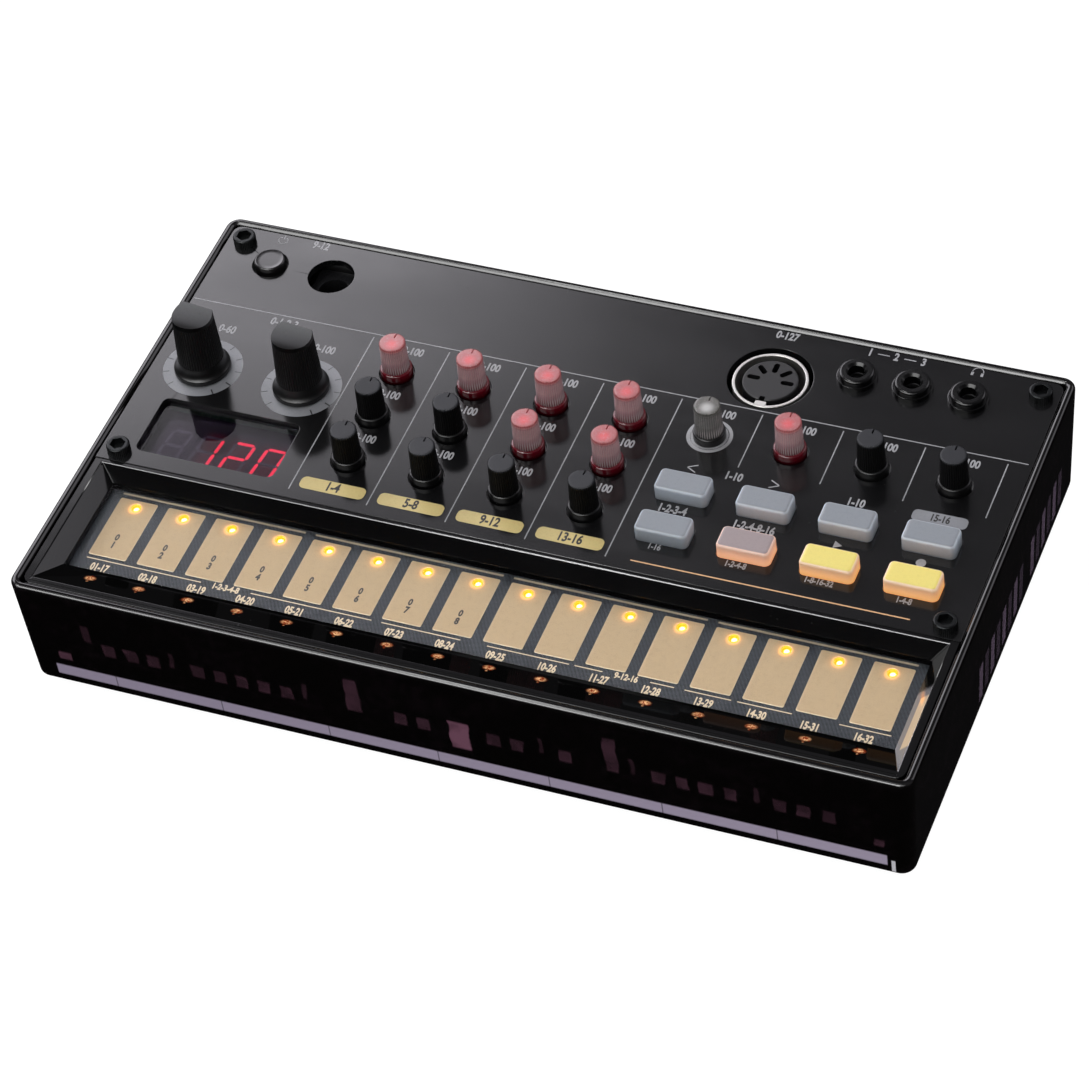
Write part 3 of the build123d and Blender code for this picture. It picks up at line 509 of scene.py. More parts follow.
def make_cap(name, top, side, foot, spot, glow, glow_strength):
    """Clear moulded cap: frosted crown over its lamp, with a painted hot spot and a painted glow, clear flutes
    painted in paler stripes, and painted highlights low on them.
    """
    material, tree, shader = start_material(
        name, Transmission_Weight=0.25, IOR=1.45, Coat_Weight=0.5, Coat_Roughness=0.12
    )
    x, y, z = around_knob(tree)
    crown = ramp(z, 0.0375, 0.0387, smooth=True)
    body = blend(ramp(z, 0.0322, 0.0352), foot, side)
    turn = maths("ARCTAN2", y, x)
    painted_flute_stripes = maths("SINE", turn * 36.0) * 0.5 + 0.5
    low = ramp(z, 0.0318, 0.0324) * ramp(z, 0.0330, 0.0346, 1.0, 0.0, smooth=True)
    painted_highlights_low = painted_flute_stripes**2 * low
    # painted light on the flutes: paler stripes, and painted highlights low on them
    body = blend(painted_flute_stripes * 0.3, body, tone(226, 214, 214))
    body = blend(painted_highlights_low * 0.75, body, tone(250, 242, 242))
    # painted hot spot on the crown
    from_lamp = maths("SQRT", (x - 0.0002) ** 2 + (y + 0.0007) ** 2)
    painted_hot_spot = ramp(from_lamp, 0.0003, 0.0021, 1.0, 0.0, smooth=True)
    face = blend(painted_hot_spot, top, spot)
    height, low_spots = speckle(tree, 5000.0, 0.4)
    skin = blend(crown, body, face)
    put(
        shader,
        Base_Color=blend(low_spots, skin, tone(205, 190, 190)),
        Roughness=ramp(crown, 0.0, 1.0, 0.16, 0.42),
        Normal=bump(tree, height, 0.2, 0.00004),
    )
    # painted glow of the crown, set in emission
    lit = crown * (painted_hot_spot * 0.75 + 0.25)
    put(shader, Emission_Color=blend(lit, BLACK, glow), Emission_Strength=glow_strength)
    return material


# the spot and glow colours are painted light: the crown's hot spot and its glow
cap_red = make_cap(
    "knob_cap_lit",
    tone(198, 120, 122),
    tone(240, 194, 198),
    tone(130, 66, 76),
    tone(216, 106, 112),
    tone(255, 60, 70),
    0.22,
)
cap_clear = make_cap(
    "knob_cap_clear", tone(112, 112, 106), tone(126, 128, 124), tone(56, 58, 56), tone(225, 225, 222), BLACK, 0.0
)


def make_knob_black():
    """Black cap: a matte crown painted paler, as painted light on the top, over dark flutes."""
    material, tree, shader = start_material("knob_cap_black", Specular_IOR_Level=0.12, Coat_Roughness=0.45)
    z = axes(tree, object_place(tree))[2]
    crown = ramp(z, 0.0383, 0.0387)
    height, low_spots = speckle(tree, 7000.0, 0.35)
    # the crown's paler colour is painted light on the top
    skin = blend(crown, tone(8, 8, 9), tone(34, 36, 41))
    skin = blend(low_spots, skin, tone(20, 21, 22))
    put(
        shader,
        Base_Color=dusted(tree, skin, 0.2, DARK_DUST),
        Roughness=wiped(tree, 0.42, 0.58),
        Coat_Weight=ramp(crown, 0.0, 1.0, 0.0, 0.45),
        Normal=bump(tree, height, 0.3),
    )
    return material


knob_cap_black = make_knob_black()


def make_large_knob_black():
    """Black grip: dark flutes, and a dished top painted paler towards its raised rear edge, as a painted light
    gradient.
    """
    material, tree, shader = start_material("knob_matte_black", Specular_IOR_Level=0.08, Coat_Roughness=0.42)
    _, y, z = axes(tree, object_place(tree))
    top = ramp(z, 0.0442, 0.0446)
    rise = ramp(y, LARGE_KNOB_Y * MM - 0.0036, LARGE_KNOB_Y * MM + 0.0026)
    height, low_spots = speckle(tree, 7000.0, 0.35)
    # painted light: the top paler towards its rear edge
    crown = blend(rise, tone(8, 8, 9), tone(64, 66, 68))
    skin = blend(top, tone(16, 17, 18), crown)
    skin = blend(low_spots, skin, tone(14, 15, 16))
    put(shader, Base_Color=dusted(tree, skin, 0.2, DARK_DUST), Roughness=wiped(tree, 0.4, 0.52))
    level = top * ramp(rise, 0.0, 1.0, -0.35, 0.85)
    put(shader, Coat_Weight=level + 0.35, Normal=bump(tree, height, 0.3))
    return material


LARGE_KNOB_Y = middle("pot_shaft_left")[1]
knob_matte = make_large_knob_black()


def make_collar_crimson():
    """Deep crimson clear collar with a wet gloss, darker towards its foot, and a painted glow that grows towards its
    top.
    """
    material, tree, shader = start_material("collar_crimson", Coat_Weight=0.12, Coat_Roughness=0.04)
    z = axes(tree, object_place(tree))[2]
    rise = ramp(z, 0.0296, 0.0318)
    # the emission is a painted glow, stronger towards the top
    put(
        shader,
        Base_Color=blend(rise, tone(40, 3, 10), tone(88, 8, 24)),
        Emission_Color=blend(rise, BLACK, tone(110, 4, 22)),
        Emission_Strength=0.16,
        Roughness=wiped(tree, 0.08, 0.16),
    )
    return material


collar_crimson = make_collar_crimson()


def make_silicone(name, top, edge, low, painted_glow_low, strength, painted_glow_top=BLACK):
    """Silicone key: a flat printed top, sides painted paler towards the top edge as a painted highlight, and a
    painted glow low on its sides.
    """
    material, tree, shader = start_material(
        name, Subsurface_Weight=0.35, Subsurface_Scale=0.0012, Subsurface_Radius=(1.0, 0.8, 0.7)
    )
    z = axes(tree, object_place(tree))[2]
    up = ramp(z, 0.03292, 0.03308, smooth=True)
    # sides paler towards the top edge: a painted highlight
    body = blend(ramp(z, 0.0300, 0.0326), low, edge)
    height, low_spots = speckle(tree, 5000.0, 0.3)
    skin = blend(up, body, top)
    darker = blend(0.25, skin, BLACK)
    put(
        shader,
        Base_Color=blend(low_spots, skin, darker),
        Roughness=wiped(tree, 0.42, 0.56),
        Normal=bump(tree, height, 0.15, 0.00004),
    )
    # painted glow, set in emission, strongest low on the sides
    painted_glow_share = ramp(z, 0.0300, 0.0331, 1.0, 0.4, smooth=True)
    glow = blend(painted_glow_share, BLACK, painted_glow_low)
    glow = blend(up, glow, painted_glow_top)
    put(shader, Emission_Color=glow, Emission_Strength=strength)
    return material


# the warm and lit keys are copies of the grey key with painted lamp light: warmer colours and a stronger painted
# glow
button_grey = make_silicone(
    "silicone_grey", tone(146, 152, 158), tone(208, 218, 228), tone(160, 166, 172), tone(128, 138, 148), 0.08
)
button_warm = make_silicone(
    "silicone_warm", tone(166, 152, 152), tone(244, 222, 212), tone(244, 206, 182), tone(252, 170, 116), 0.6
)
button_lit = make_silicone(
    "silicone_lit",
    tone(228, 214, 128),
    tone(250, 232, 208),
    tone(246, 212, 166),
    tone(252, 168, 88),
    0.64,
    tone(140, 124, 22),
)


def make_ink(name, colour, worn):
    """Printed ink: even, satin, with pinholes."""
    material, tree, shader = start_material(name)
    low_spots = speckle(tree, 9000.0, 0.5)[1]
    put(shader, Base_Color=blend(low_spots, colour, worn), Roughness=wiped(tree, 0.4, 0.55))
    return material


ink_grey = make_ink("ink_light_grey", tone(168, 169, 171), tone(130, 130, 132))
ink_ring = make_ink("ink_scale_grey", tone(143, 145, 149), tone(122, 124, 128))
ink_gold = make_ink("ink_gold", tone(216, 196, 128), tone(190, 168, 104))
ink_cream = make_ink("ink_cream", tone(170, 154, 126), tone(150, 134, 106))
ink_orange = make_ink("ink_orange", tone(236, 186, 134), tone(210, 162, 116))
ink_black = make_ink("ink_black", tone(22, 20, 18), tone(48, 44, 38))


def make_smoked_case():
    """Smoked clear case: near black with a plum tint, and painted light where the pale studio would show through it,
    in broken patches.
    """
    material, tree, shader = start_material("smoked_case", Specular_IOR_Level=0.35, Coat_Roughness=0.24)
    x, y, z = axes(tree, object_place(tree))
    facing = axes(tree, add_node(tree, "ShaderNodeNewGeometry").outputs["Normal"])
    low_spots = speckle(tree, 420.0, 1.0)[1]
    base = blend(low_spots, tone(5, 4, 4), tone(12, 8, 10))

    def patch(across, left, right, low, high, soft=0.2):
        """Mask of one upright patch between left and right along a wall, and low and high, in millimetres."""
        mask = ramp(across, (left - soft) * MM, left * MM)
        mask *= ramp(across, right * MM, (right + soft) * MM, 1.0, 0.0)
        ends = ramp(z, (low - soft) * MM, (low + soft) * MM)
        return mask * (ends * ramp(z, (high - soft) * MM, (high + soft) * MM, 1.0, 0.0))

    broken = noise(tree, Scale=160.0, Detail=3.0)
    some = ramp(broken, 0.35, 0.6, 0.55, 1.0, smooth=True)

    # uneven mouldings break the edges of the patches on the front wall
    wobble = (broken - 0.5) * 0.0022
    across = x + wobble

    # front wall: a row of painted squares of light with a few taller and brighter patches
    front = ramp(facing[1], -0.9, -0.97)
    squares_x = [-76, -71, -66, -56, -51, -46, -41, -36, -11, -6, 9, 14, 24.5, 44, 49, 54, 59, 69, 74, 79]
    slits_x = (-61.5, -31.6, 19.3, 38.6, 64.5)
    # left, right, low and high in millimetres, and strength
    patches = [(mid - 1.2, mid + 1.2, 13.8, 17.3, 0.1) for mid in squares_x]
    patches += [(mid - 0.3, mid + 0.3, 15.0, 19.5, 0.06) for mid in slits_x]
    patches += [(-22.3, -19.7, 14.6, 24.5, 0.11), (33.1, 35.5, 14.2, 24.5, 0.11), (-0.3, 3.9, 10.4, 18.5, 0.42)]
    patches += [(-88.0, -85.6, 9.6, 11.8, 0.2), (88.2, 90.0, 10.0, 12.0, 0.15), (-81.0, -79.6, 17.0, 22.0, 0.05)]
    light = 0.0
    for left, right, low, high, strength in patches:
        light = patch(across, left, right, low, high, 0.35) * strength + light
    light = light * some * front
    colour = blend(light, base, tone(164, 112, 136))

    # low painted band of pale light along the front, with thin dark joints
    joint = maths("PINGPONG", x + 0.004, 0.012)
    band = patch(x, -89.6, 90.5, 4.5, 7.5) * ramp(joint, 0.00005, 0.0002, 0.35, 1.0)
    shade = ramp(x, -0.09, 0.09)
    pale = blend(shade, tone(150, 140, 160), tone(168, 157, 178))
    colour = blend(band * front, colour, pale)

    # a painted highlight in a thin slit at the right end of the front
    painted_highlight_slit = patch(x, 91.5, 92.2, 2.8, 6.2, 0.1) * front
    colour = blend(painted_highlight_slit, colour, tone(205, 204, 210))

    # right wall: upright painted streaks of light, of two strengths
    side = ramp(facing[0], 0.9, 0.97)
    light = 0.0
    for i, mid in enumerate([*range(-11, 19, 4), *range(25, 46, 4)]):
        light = patch(y, mid - 1.1, mid + 1.1, 5.2, 15.3) * (0.5, 0.2)[i % 2] + light
    colour = blend(light * side, colour, tone(130, 112, 134))
    put(shader, Base_Color=colour)
    # the front of the rim is polished less, so its highlight is broad
    bead = ramp(z, 0.0290, 0.0294) * ramp(facing[1], -0.2, -0.4)
    gloss = wiped(tree, 0.05, 0.12)
    put(shader, Roughness=bead * 0.16 + gloss, Coat_Weight=bead)
    return material


smoked_case = make_smoked_case()


# ---- modelling tools ----
def rest():
    """Leave edit mode and select nothing."""
    if bpy.context.object is not None and bpy.context.object.mode == "EDIT":
        bpy.ops.object.mode_set(mode="OBJECT")
    bpy.ops.object.select_all(action="DESELECT")


def take(piece, editing=False):
    """Select one piece alone, in object or edit mode."""
    rest()
    piece.select_set(True)
    bpy.context.view_layer.objects.active = piece
    if editing:
        bpy.ops.object.mode_set(mode="EDIT")


def pick(piece, kind, wanted):
    """Go to edit mode and select the faces (by middle and normal), edges (by ends) or vertices (by place) wanted."""
    if piece.mode != "EDIT":
        take(piece, True)
    bpy.ops.mesh.select_mode(type=kind)
    bpy.ops.mesh.select_all(action="DESELECT")
    mesh = bmesh.from_edit_mesh(piece.data)
    if kind == "FACE":
        for face in mesh.faces:
            face.select_set(wanted(face.calc_center_median(), face.normal))
    elif kind == "EDGE":
        for edge in mesh.edges:
            edge.select_set(wanted(edge.verts[0].co, edge.verts[1].co))
    else:
        for vertex in mesh.verts:
            vertex.select_set(wanted(vertex.co))
    bmesh.update_edit_mesh(piece.data)


def settle_in(piece, name):
    """Give a new primitive its name and move its place into its mesh."""
    piece.name = name
    piece.data.name = name
    take(piece)
    bpy.ops.object.transform_apply(location=True, rotation=True, scale=True)
    return piece


def block(name, low, high):
    """A box between two corners."""
    rest()
    bpy.ops.mesh.primitive_cube_add(size=1, location=[(a + b) / 2 for a, b in zip(low, high)])
    made = bpy.context.object
    made.scale = [b - a for a, b in zip(low, high)]
    return settle_in(made, name)


def post(name, x, y, low_z, high_z, radius, sides=48, top_radius=None):
    """An upright prism, or a cone with another radius at its top."""
    rest()
    bpy.ops.mesh.primitive_cone_add(
        vertices=sides,
        radius1=radius,
        radius2=radius if top_radius is None else top_radius,
        depth=high_z - low_z,
        location=(x, y, (low_z + high_z) / 2),
    )
    return settle_in(bpy.context.object, name)


def upright(a, b):
    """Whether an edge stands."""
    return abs(a.z - b.z) > 0.8 * (a - b).length


def at_height(z):
    """A test for edges that lie at a height."""
    return lambda a, b: abs(a.z - z) < 0.01 and abs(b.z - z) < 0.01


def round_over(piece, wanted, width, segments=3):
    """Bevel the wanted edges."""
    take(piece, True)
    pick(piece, "EDGE", wanted)
    bpy.ops.mesh.bevel(offset=width, segments=segments, affect="EDGES", profile=0.5)


def pick_top(piece, least=0.9):
    """Select the faces that look up."""
    pick(piece, "FACE", lambda c, n: n.z > least)


def inset(width):
    """Draw the picked face in."""
    bpy.ops.mesh.inset(thickness=width)


def extrude(rise):
    """Pull the picked faces up, or down."""
    bpy.ops.mesh.extrude_region_move(TRANSFORM_OT_translate={"value": (0, 0, rise)})


def resize(by_x, by_y, centre):
    """Scale what is picked in X and Y about a centre."""
    bpy.ops.transform.resize(value=(by_x, by_y, 1), center_override=centre)


def pad_block(name, low, high, corner, segments=6):
    """A block with rounded upright corners."""
    made = block(name, low, high)
    round_over(made, upright, corner, segments)
    return made


def merge(pieces):
    """Join pieces into the first."""
    rest()
    for piece in pieces:
        piece.select_set(True)
    bpy.context.view_layer.objects.active = pieces[0]
    if len(pieces) > 1:
        bpy.ops.object.join()
    return pieces[0]


def carve(piece, cutters, operation="DIFFERENCE"):
    """Cut the cutters out of a piece, or add them to it."""
    cutter = merge(cutters)
    take(piece)
    change = piece.modifiers.new("carve", "BOOLEAN")
    change.operation = operation
    change.object = cutter
    change.solver = "EXACT"
    change.use_self = True
    bpy.ops.object.modifier_apply(modifier=change.name)
    bpy.data.objects.remove(cutter)


def twin(piece, name, shift):
    """A copy with its own mesh, moved by shift."""
    take(piece)
    bpy.ops.object.duplicate_move(TRANSFORM_OT_translate={"value": shift})
    return settle_in(bpy.context.object, name)


def tidy_mesh(piece, gap=0.0005):
    """Merge doubles and turn every face outwards."""
    take(piece, True)
    bpy.ops.mesh.select_all(action="SELECT")
    bpy.ops.mesh.remove_doubles(threshold=gap)
    bpy.ops.mesh.normals_make_consistent(inside=False)
    rest()


def finish(piece, material, body="root", nodes=(), angle=30):
    """Shade, bring to metres, and hand the piece to the frame."""
    take(piece)
    piece.data.materials.clear()
    piece.data.materials.append(material)
    bpy.ops.object.shade_smooth_by_angle(angle=radians(angle))
    # the broad faces set the shading, so flats stay flat beside their rounded edges
    weighted = piece.modifiers.new("weighted", "WEIGHTED_NORMAL")
    weighted.weight = 100
    weighted.keep_sharp = True
    bpy.ops.object.modifier_apply(modifier=weighted.name)
    piece.scale = (MM, MM, MM)
    bpy.ops.object.transform_apply(location=True, rotation=True, scale=True)
    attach(piece, body)
    if nodes:
        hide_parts(*nodes)
    return piece


def finish_print(name, pieces, material):
    """Prints joined into one piece that stays with the body's root."""
    made = merge(pieces)
    made.name = name
    return finish(made, material)


def dress(node, material):
    """A CAD node keeps its shape and takes a better material."""
    piece = nodes_of_frame[node]
    piece.data.materials.clear()
    piece.data.materials.append(material)


def figure(name, words, size, x, y, z, squeeze=0.7, bold=0.035):
    """A printed figure: text made a thin mesh, its middle at x, y."""
    rest()
    bpy.ops.object.text_add(location=(0, 0, 0))
    made = bpy.context.object
    made.data.body = words
    made.data.size = size
    made.data.align_x = "CENTER"
    made.data.align_y = "CENTER"
    made.data.extrude = INK / 2
    made.data.offset = bold * size
    made.data.resolution_u = 4
    bpy.ops.object.convert(target="MESH")
    made = bpy.context.object
    made.scale = (squeeze, 1, 1)
    made.location = (x, y, z + INK / 2)
    return settle_in(made, name)


def bar(name, x, y, length, width, z, turn=0.0, pointed=0.0):
    """A thin printed bar, with bevelled ends if pointed."""
    made = block(name, (-length / 2, -width / 2, 0), (length / 2, width / 2, INK))
    if pointed:
        round_over(made, upright, pointed, 3)
    made.rotation_euler = (0, 0, turn)
    made.location = (x, y, z)
    return settle_in(made, name)


# ---- case ----
def make_case():
    """The smoked tray: leaning walls, a beaded rim, screw posts, the battery bay and the speaker's slots."""
    half_x, half_y, lean = CASE_WIDTH / 2, CASE_DEPTH / 2, 0.95
    shell = block("case_shell", (-half_x, -half_y, CASE_Z), (half_x, half_y, RIM_Z))
    pick(shell, "FACE", lambda c, n: n.z < -0.9)
    resize(1 - lean / half_x, 1 - lean / half_y, (0, 0, CASE_Z))
    round_over(shell, upright, 3.0, 8)
    round_over(shell, at_height(CASE_Z), 1.2, 5)
    round_over(shell, at_height(RIM_Z), 1.05, 8)
    # the hollow, from the flat of the rim down to the floor
    pick(shell, "FACE", lambda c, n: n.z > 0.9 and c.z > RIM_Z - 0.01)
    inset(0.95)
    extrude(FLOOR_Z - RIM_Z)
    resize(1 - 0.87 / 94.5, 1 - 0.87 / 55.5, (0, 0, FLOOR_Z))

    def inner_line(a, b):
        """Both ends on the inner line of the rim, past its straights by less than its corner's radius."""
        beyond = [hypot(max(abs(end.x) - 93.5, 0), max(abs(end.y) - 54.5, 0)) for end in (a, b)]
        return at_height(RIM_Z)(a, b) and max(beyond) < 1.4

    # it makes the other half of the rim's bead
    round_over(shell, inner_line, 0.85, 6)
    posts = [(sx * 88.2, y) for sx in (-1, 1) for y in (-46.0, 38.0)]
    carve(shell, [post("post", x, y, FLOOR_Z - 1, 14.0, 4.4, 32) for x, y in posts], "UNION")
    cutters = [post("well", x, y, CASE_Z - 1, 5.6, 3.1, 32) for x, y in posts]
    cutters += [post("hole", x, y, 5.0, 15.0, 1.7, 24) for x, y in posts]
    # the door laps the ends of the bay and has a gap at its sides
    lap, gap = 1.3, 0.3
    low, high = low_high("battery_door")
    bay_x, bay_y = (low.x + high.x) / 2, low.y - gap + (high.y - low.y + 2 * gap) / 2
    half_x, half_y = (high.x - low.x) / 2 - lap, (high.y - low.y) / 2 + gap
    low, high = (bay_x - half_x, bay_y - half_y, CASE_Z - 1), (bay_x + half_x, bay_y + half_y, FLOOR_Z + 1)
    cutters.append(pad_block("opening", low, high, 0.6, 3))
    cutters.append(post("finger", bay_x, low[1], CASE_Z - 1, CASE_Z + 1.2, 7.0, 48))
    speaker_x, speaker_y = middle("speaker_cone")
    for i in range(7):
        y = 4.0 * (i - 3)
        half = (14.8**2 - y * y) ** 0.5
        low = (speaker_x - half, speaker_y + y - 1, CASE_Z - 1)
        high = (speaker_x + half, speaker_y + y + 1, FLOOR_Z + 1)
        cutters.append(pad_block("slot", low, high, 0.98, 4))
    carve(shell, cutters)
    tidy_mesh(shell)
    return finish(shell, smoked_case, nodes=["bottom_case"])


make_case()


# ---- control panel ----
SMALL_KNOBS = [
    "kick_click", "kick_pitch", "kick_decay", "snare_snap", "snare_pitch", "snare_decay", "tom_low_pitch",
    "tom_high_pitch", "tom_decay", "hat_closed_decay", "hat_open_decay", "hat_grain", "sample_speed", "tempo",
    "part_level", "volume",
]
LIT_KNOBS = (
    "kick_click", "snare_snap", "tom_low_pitch", "tom_high_pitch", "hat_closed_decay", "hat_open_decay", "tempo",
)
BUTTONS = [
    "part_back_button", "part_next_button", "mute_button", "function_button", "memory_button", "step_mode_button",
    "play_button", "record_button",
]
small_places = {name: middle(f"{name}_knob") for name in SMALL_KNOBS}
large_places = {side: middle(f"pot_shaft_{side}") for side in ("left", "right")}
button_places = {name: middle(name) for name in BUTTONS}
window_low, window_high = low_high("display_window")
window_x, window_y = middle("display_window")
power_x, power_y = middle("power_button")
dc_x, dc_y = middle("dc_pin")
din_x, din_y = middle("din_insert")
jack_low, jack_high = low_high("audio_jacks")
jack_y = (jack_low.y + jack_high.y) / 2
jacks_x = [jack_low.x + 4.5 + i * (jack_high.x - jack_low.x - 9.0) / 2 for i in range(3)]
screws_low, screws_high = low_high("panel_screws")
HEAD_RADIUS = 2.75  # of the CAD screws
panel_screws = [
    (x, y)
    for y in (screws_high.y - HEAD_RADIUS, screws_low.y + HEAD_RADIUS)
    for x in (screws_low.x + HEAD_RADIUS, screws_high.x - HEAD_RADIUS)
]


def make_panel():
    """The black sheet, with a hole for every control."""
    low, high = low_high("front_panel")
    panel = block("control_panel", low, high)
    round_over(panel, lambda a, b: upright(a, b) and a.y > 0, 2.0, 6)
    under, over = low.z - 1, high.z + 1
    cutters = []
    for x, y in [*small_places.values(), *large_places.values()]:
        cutters.append(post("hole", x, y, under, over, 3.8))
    for x, y in button_places.values():
        cutters.append(pad_block("hole", (x - 5.8, y - 3.2, under), (x + 5.8, y + 3.2, over), 1.35))
    cutters.append(
        pad_block("hole", (window_x - 15.8, window_y - 7.95, under), (window_x + 15.8, window_y + 7.95, over), 1.6)
    )
    cutters.append(post("hole", power_x, power_y, under, over, 4.0, 64))
    cutters.append(post("hole", dc_x, dc_y, under, over, 5.1, 64))
    cutters.append(post("hole", din_x, din_y, under, over, 9.05, 96))
    for x in jacks_x:
        cutters.append(post("hole", x, jack_y, under, over, 3.95, 64))
    for x, y in panel_screws:
        cutters.append(post("hole", x, y, under, over, 1.7, 32))
    carve(panel, cutters)
    tidy_mesh(panel)
    round_over(panel, at_height(high.z), 0.13, 2)
    return finish(panel, panel_satin, nodes=["front_panel"], angle=40)


make_panel()


# ---- keyboard tray ----
# paler, half-metal finish of the tray's rear edge: a painted highlight along it
painted_highlight_edge = moulded(
    "painted_highlight_edge", tone(120, 120, 121), 0.16, 0.26, grain=3000.0, relief=0.01, speck=0.0, Metallic=0.5
)


def make_polished_end():
    """Polished end wall of the tray: a painted reflection of the last pad, warm on grey, going dark behind it."""
    material, tree, shader = start_material("polished_end", Metallic=0.4)
    _, y, z = axes(tree, object_place(tree))
    # painted reflection of the last pad, warm on grey, going dark behind it
    behind = ramp(y, -0.0318, -0.0300, smooth=True)
    upper = PLATE_Z + 0.4 * (PANEL_Z - PLATE_Z)
    warm = ramp(y, -0.0470, -0.0464) * ramp(y, -0.0334, -0.0328, 1.0, 0.0)
    warm *= ramp(z, (upper - 0.1) * MM, (upper + 0.1) * MM)
    painted_reflection = blend(warm, tone(140, 139, 142), tone(224, 204, 174))
    shaded = blend(behind, painted_reflection, tone(12, 12, 12))
    put(shader, Base_Color=dusted(tree, shaded, 0.1), Roughness=wiped(tree, 0.04, 0.09))
    return material


mirror_end = make_polished_end()


def make_keyboard_frame():
    """The gloss frame whose four sloping walls lead down to the keyboard."""
    low, high = low_high("keyboard_bezel")
    tray = block("keyboard_frame", low, high)
    round_over(tray, lambda a, b: upright(a, b) and a.y < -40, 2.0, 6)
    # the mouth and its four sloping walls
    mouth = (-92.5, -53.5, 92.5, high.y - 0.7)
    floor = (-89.4, -45.7, 89.4, high.y - 3.1)
    cutter = block("mouth", (mouth[0], mouth[1], PLATE_Z), (mouth[2], mouth[3], high.z))
    pick(cutter, "VERT", lambda v: v.z < PLATE_Z + 0.01)
    mouth_y, floor_y = (mouth[1] + mouth[3]) / 2, (floor[1] + floor[3]) / 2
    shrink_x = (floor[2] - floor[0]) / (mouth[2] - mouth[0])
    shrink_y = (floor[3] - floor[1]) / (mouth[3] - mouth[1])
    resize(shrink_x, shrink_y, (0, mouth_y, PLATE_Z))
    bpy.ops.transform.translate(value=(0, floor_y - mouth_y, 0))
    # the walls run on straight above the frame's top and below its floor
    pick_top(cutter)
    extrude(1)
    pick(cutter, "FACE", lambda c, n: n.z < -0.99)
    extrude(low.z - 1 - PLATE_Z)
    # a fine groove along the front land
    carve(tray, [block("groove", (-92.6, -54.4, high.z - 0.14), (92.6, -54.26, high.z + 1))])
    carve(tray, [cutter])
    tidy_mesh(tray)
    round_over(
        tray, lambda a, b: at_height(high.z)(a, b) and min(abs(a.y - mouth[3]), abs(b.y - mouth[3])) < 0.05, 0.2, 3
    )
    round_over(tray, lambda a, b: at_height(high.z)(a, b) and max(a.y, b.y) < -25, 0.05, 1)
    round_over(
        tray, lambda a, b: min(a.z, b.z) > PLATE_Z - 0.1 and abs(a.z - b.z) > 2 and (a - b).length < 9, 0.15, 3
    )
    round_over(tray, at_height(PLATE_Z), 0.12, 2)
    return finish(tray, frame_gloss, nodes=["keyboard_bezel"], angle=40)


tray = make_keyboard_frame()
# the right end wall takes the painted reflection, the rear edge the painted highlight, and the front slope the
# painted lamp reflections
for wall_look in (mirror_end, slope_black, painted_highlight_edge):
    tray.data.materials.append(wall_look)
for face in tray.data.polygons:
    spot = face.center / MM
    right_end = face.normal.x < -0.5 and face.normal.z > 0.4 and spot.z > PLATE_Z and spot.x > 88
    rear_edge = spot.z > BEZEL_Z - 0.4 and 0.2 < face.normal.z < 0.97 and face.normal.y < -0.2 and spot.y > -21
    if right_end:
        face.material_index = 1
    elif rear_edge:
        face.material_index = 3
    elif face.normal.y > 0.3 and face.normal.z > 0.6 and spot.y < -44:
        face.material_index = 2


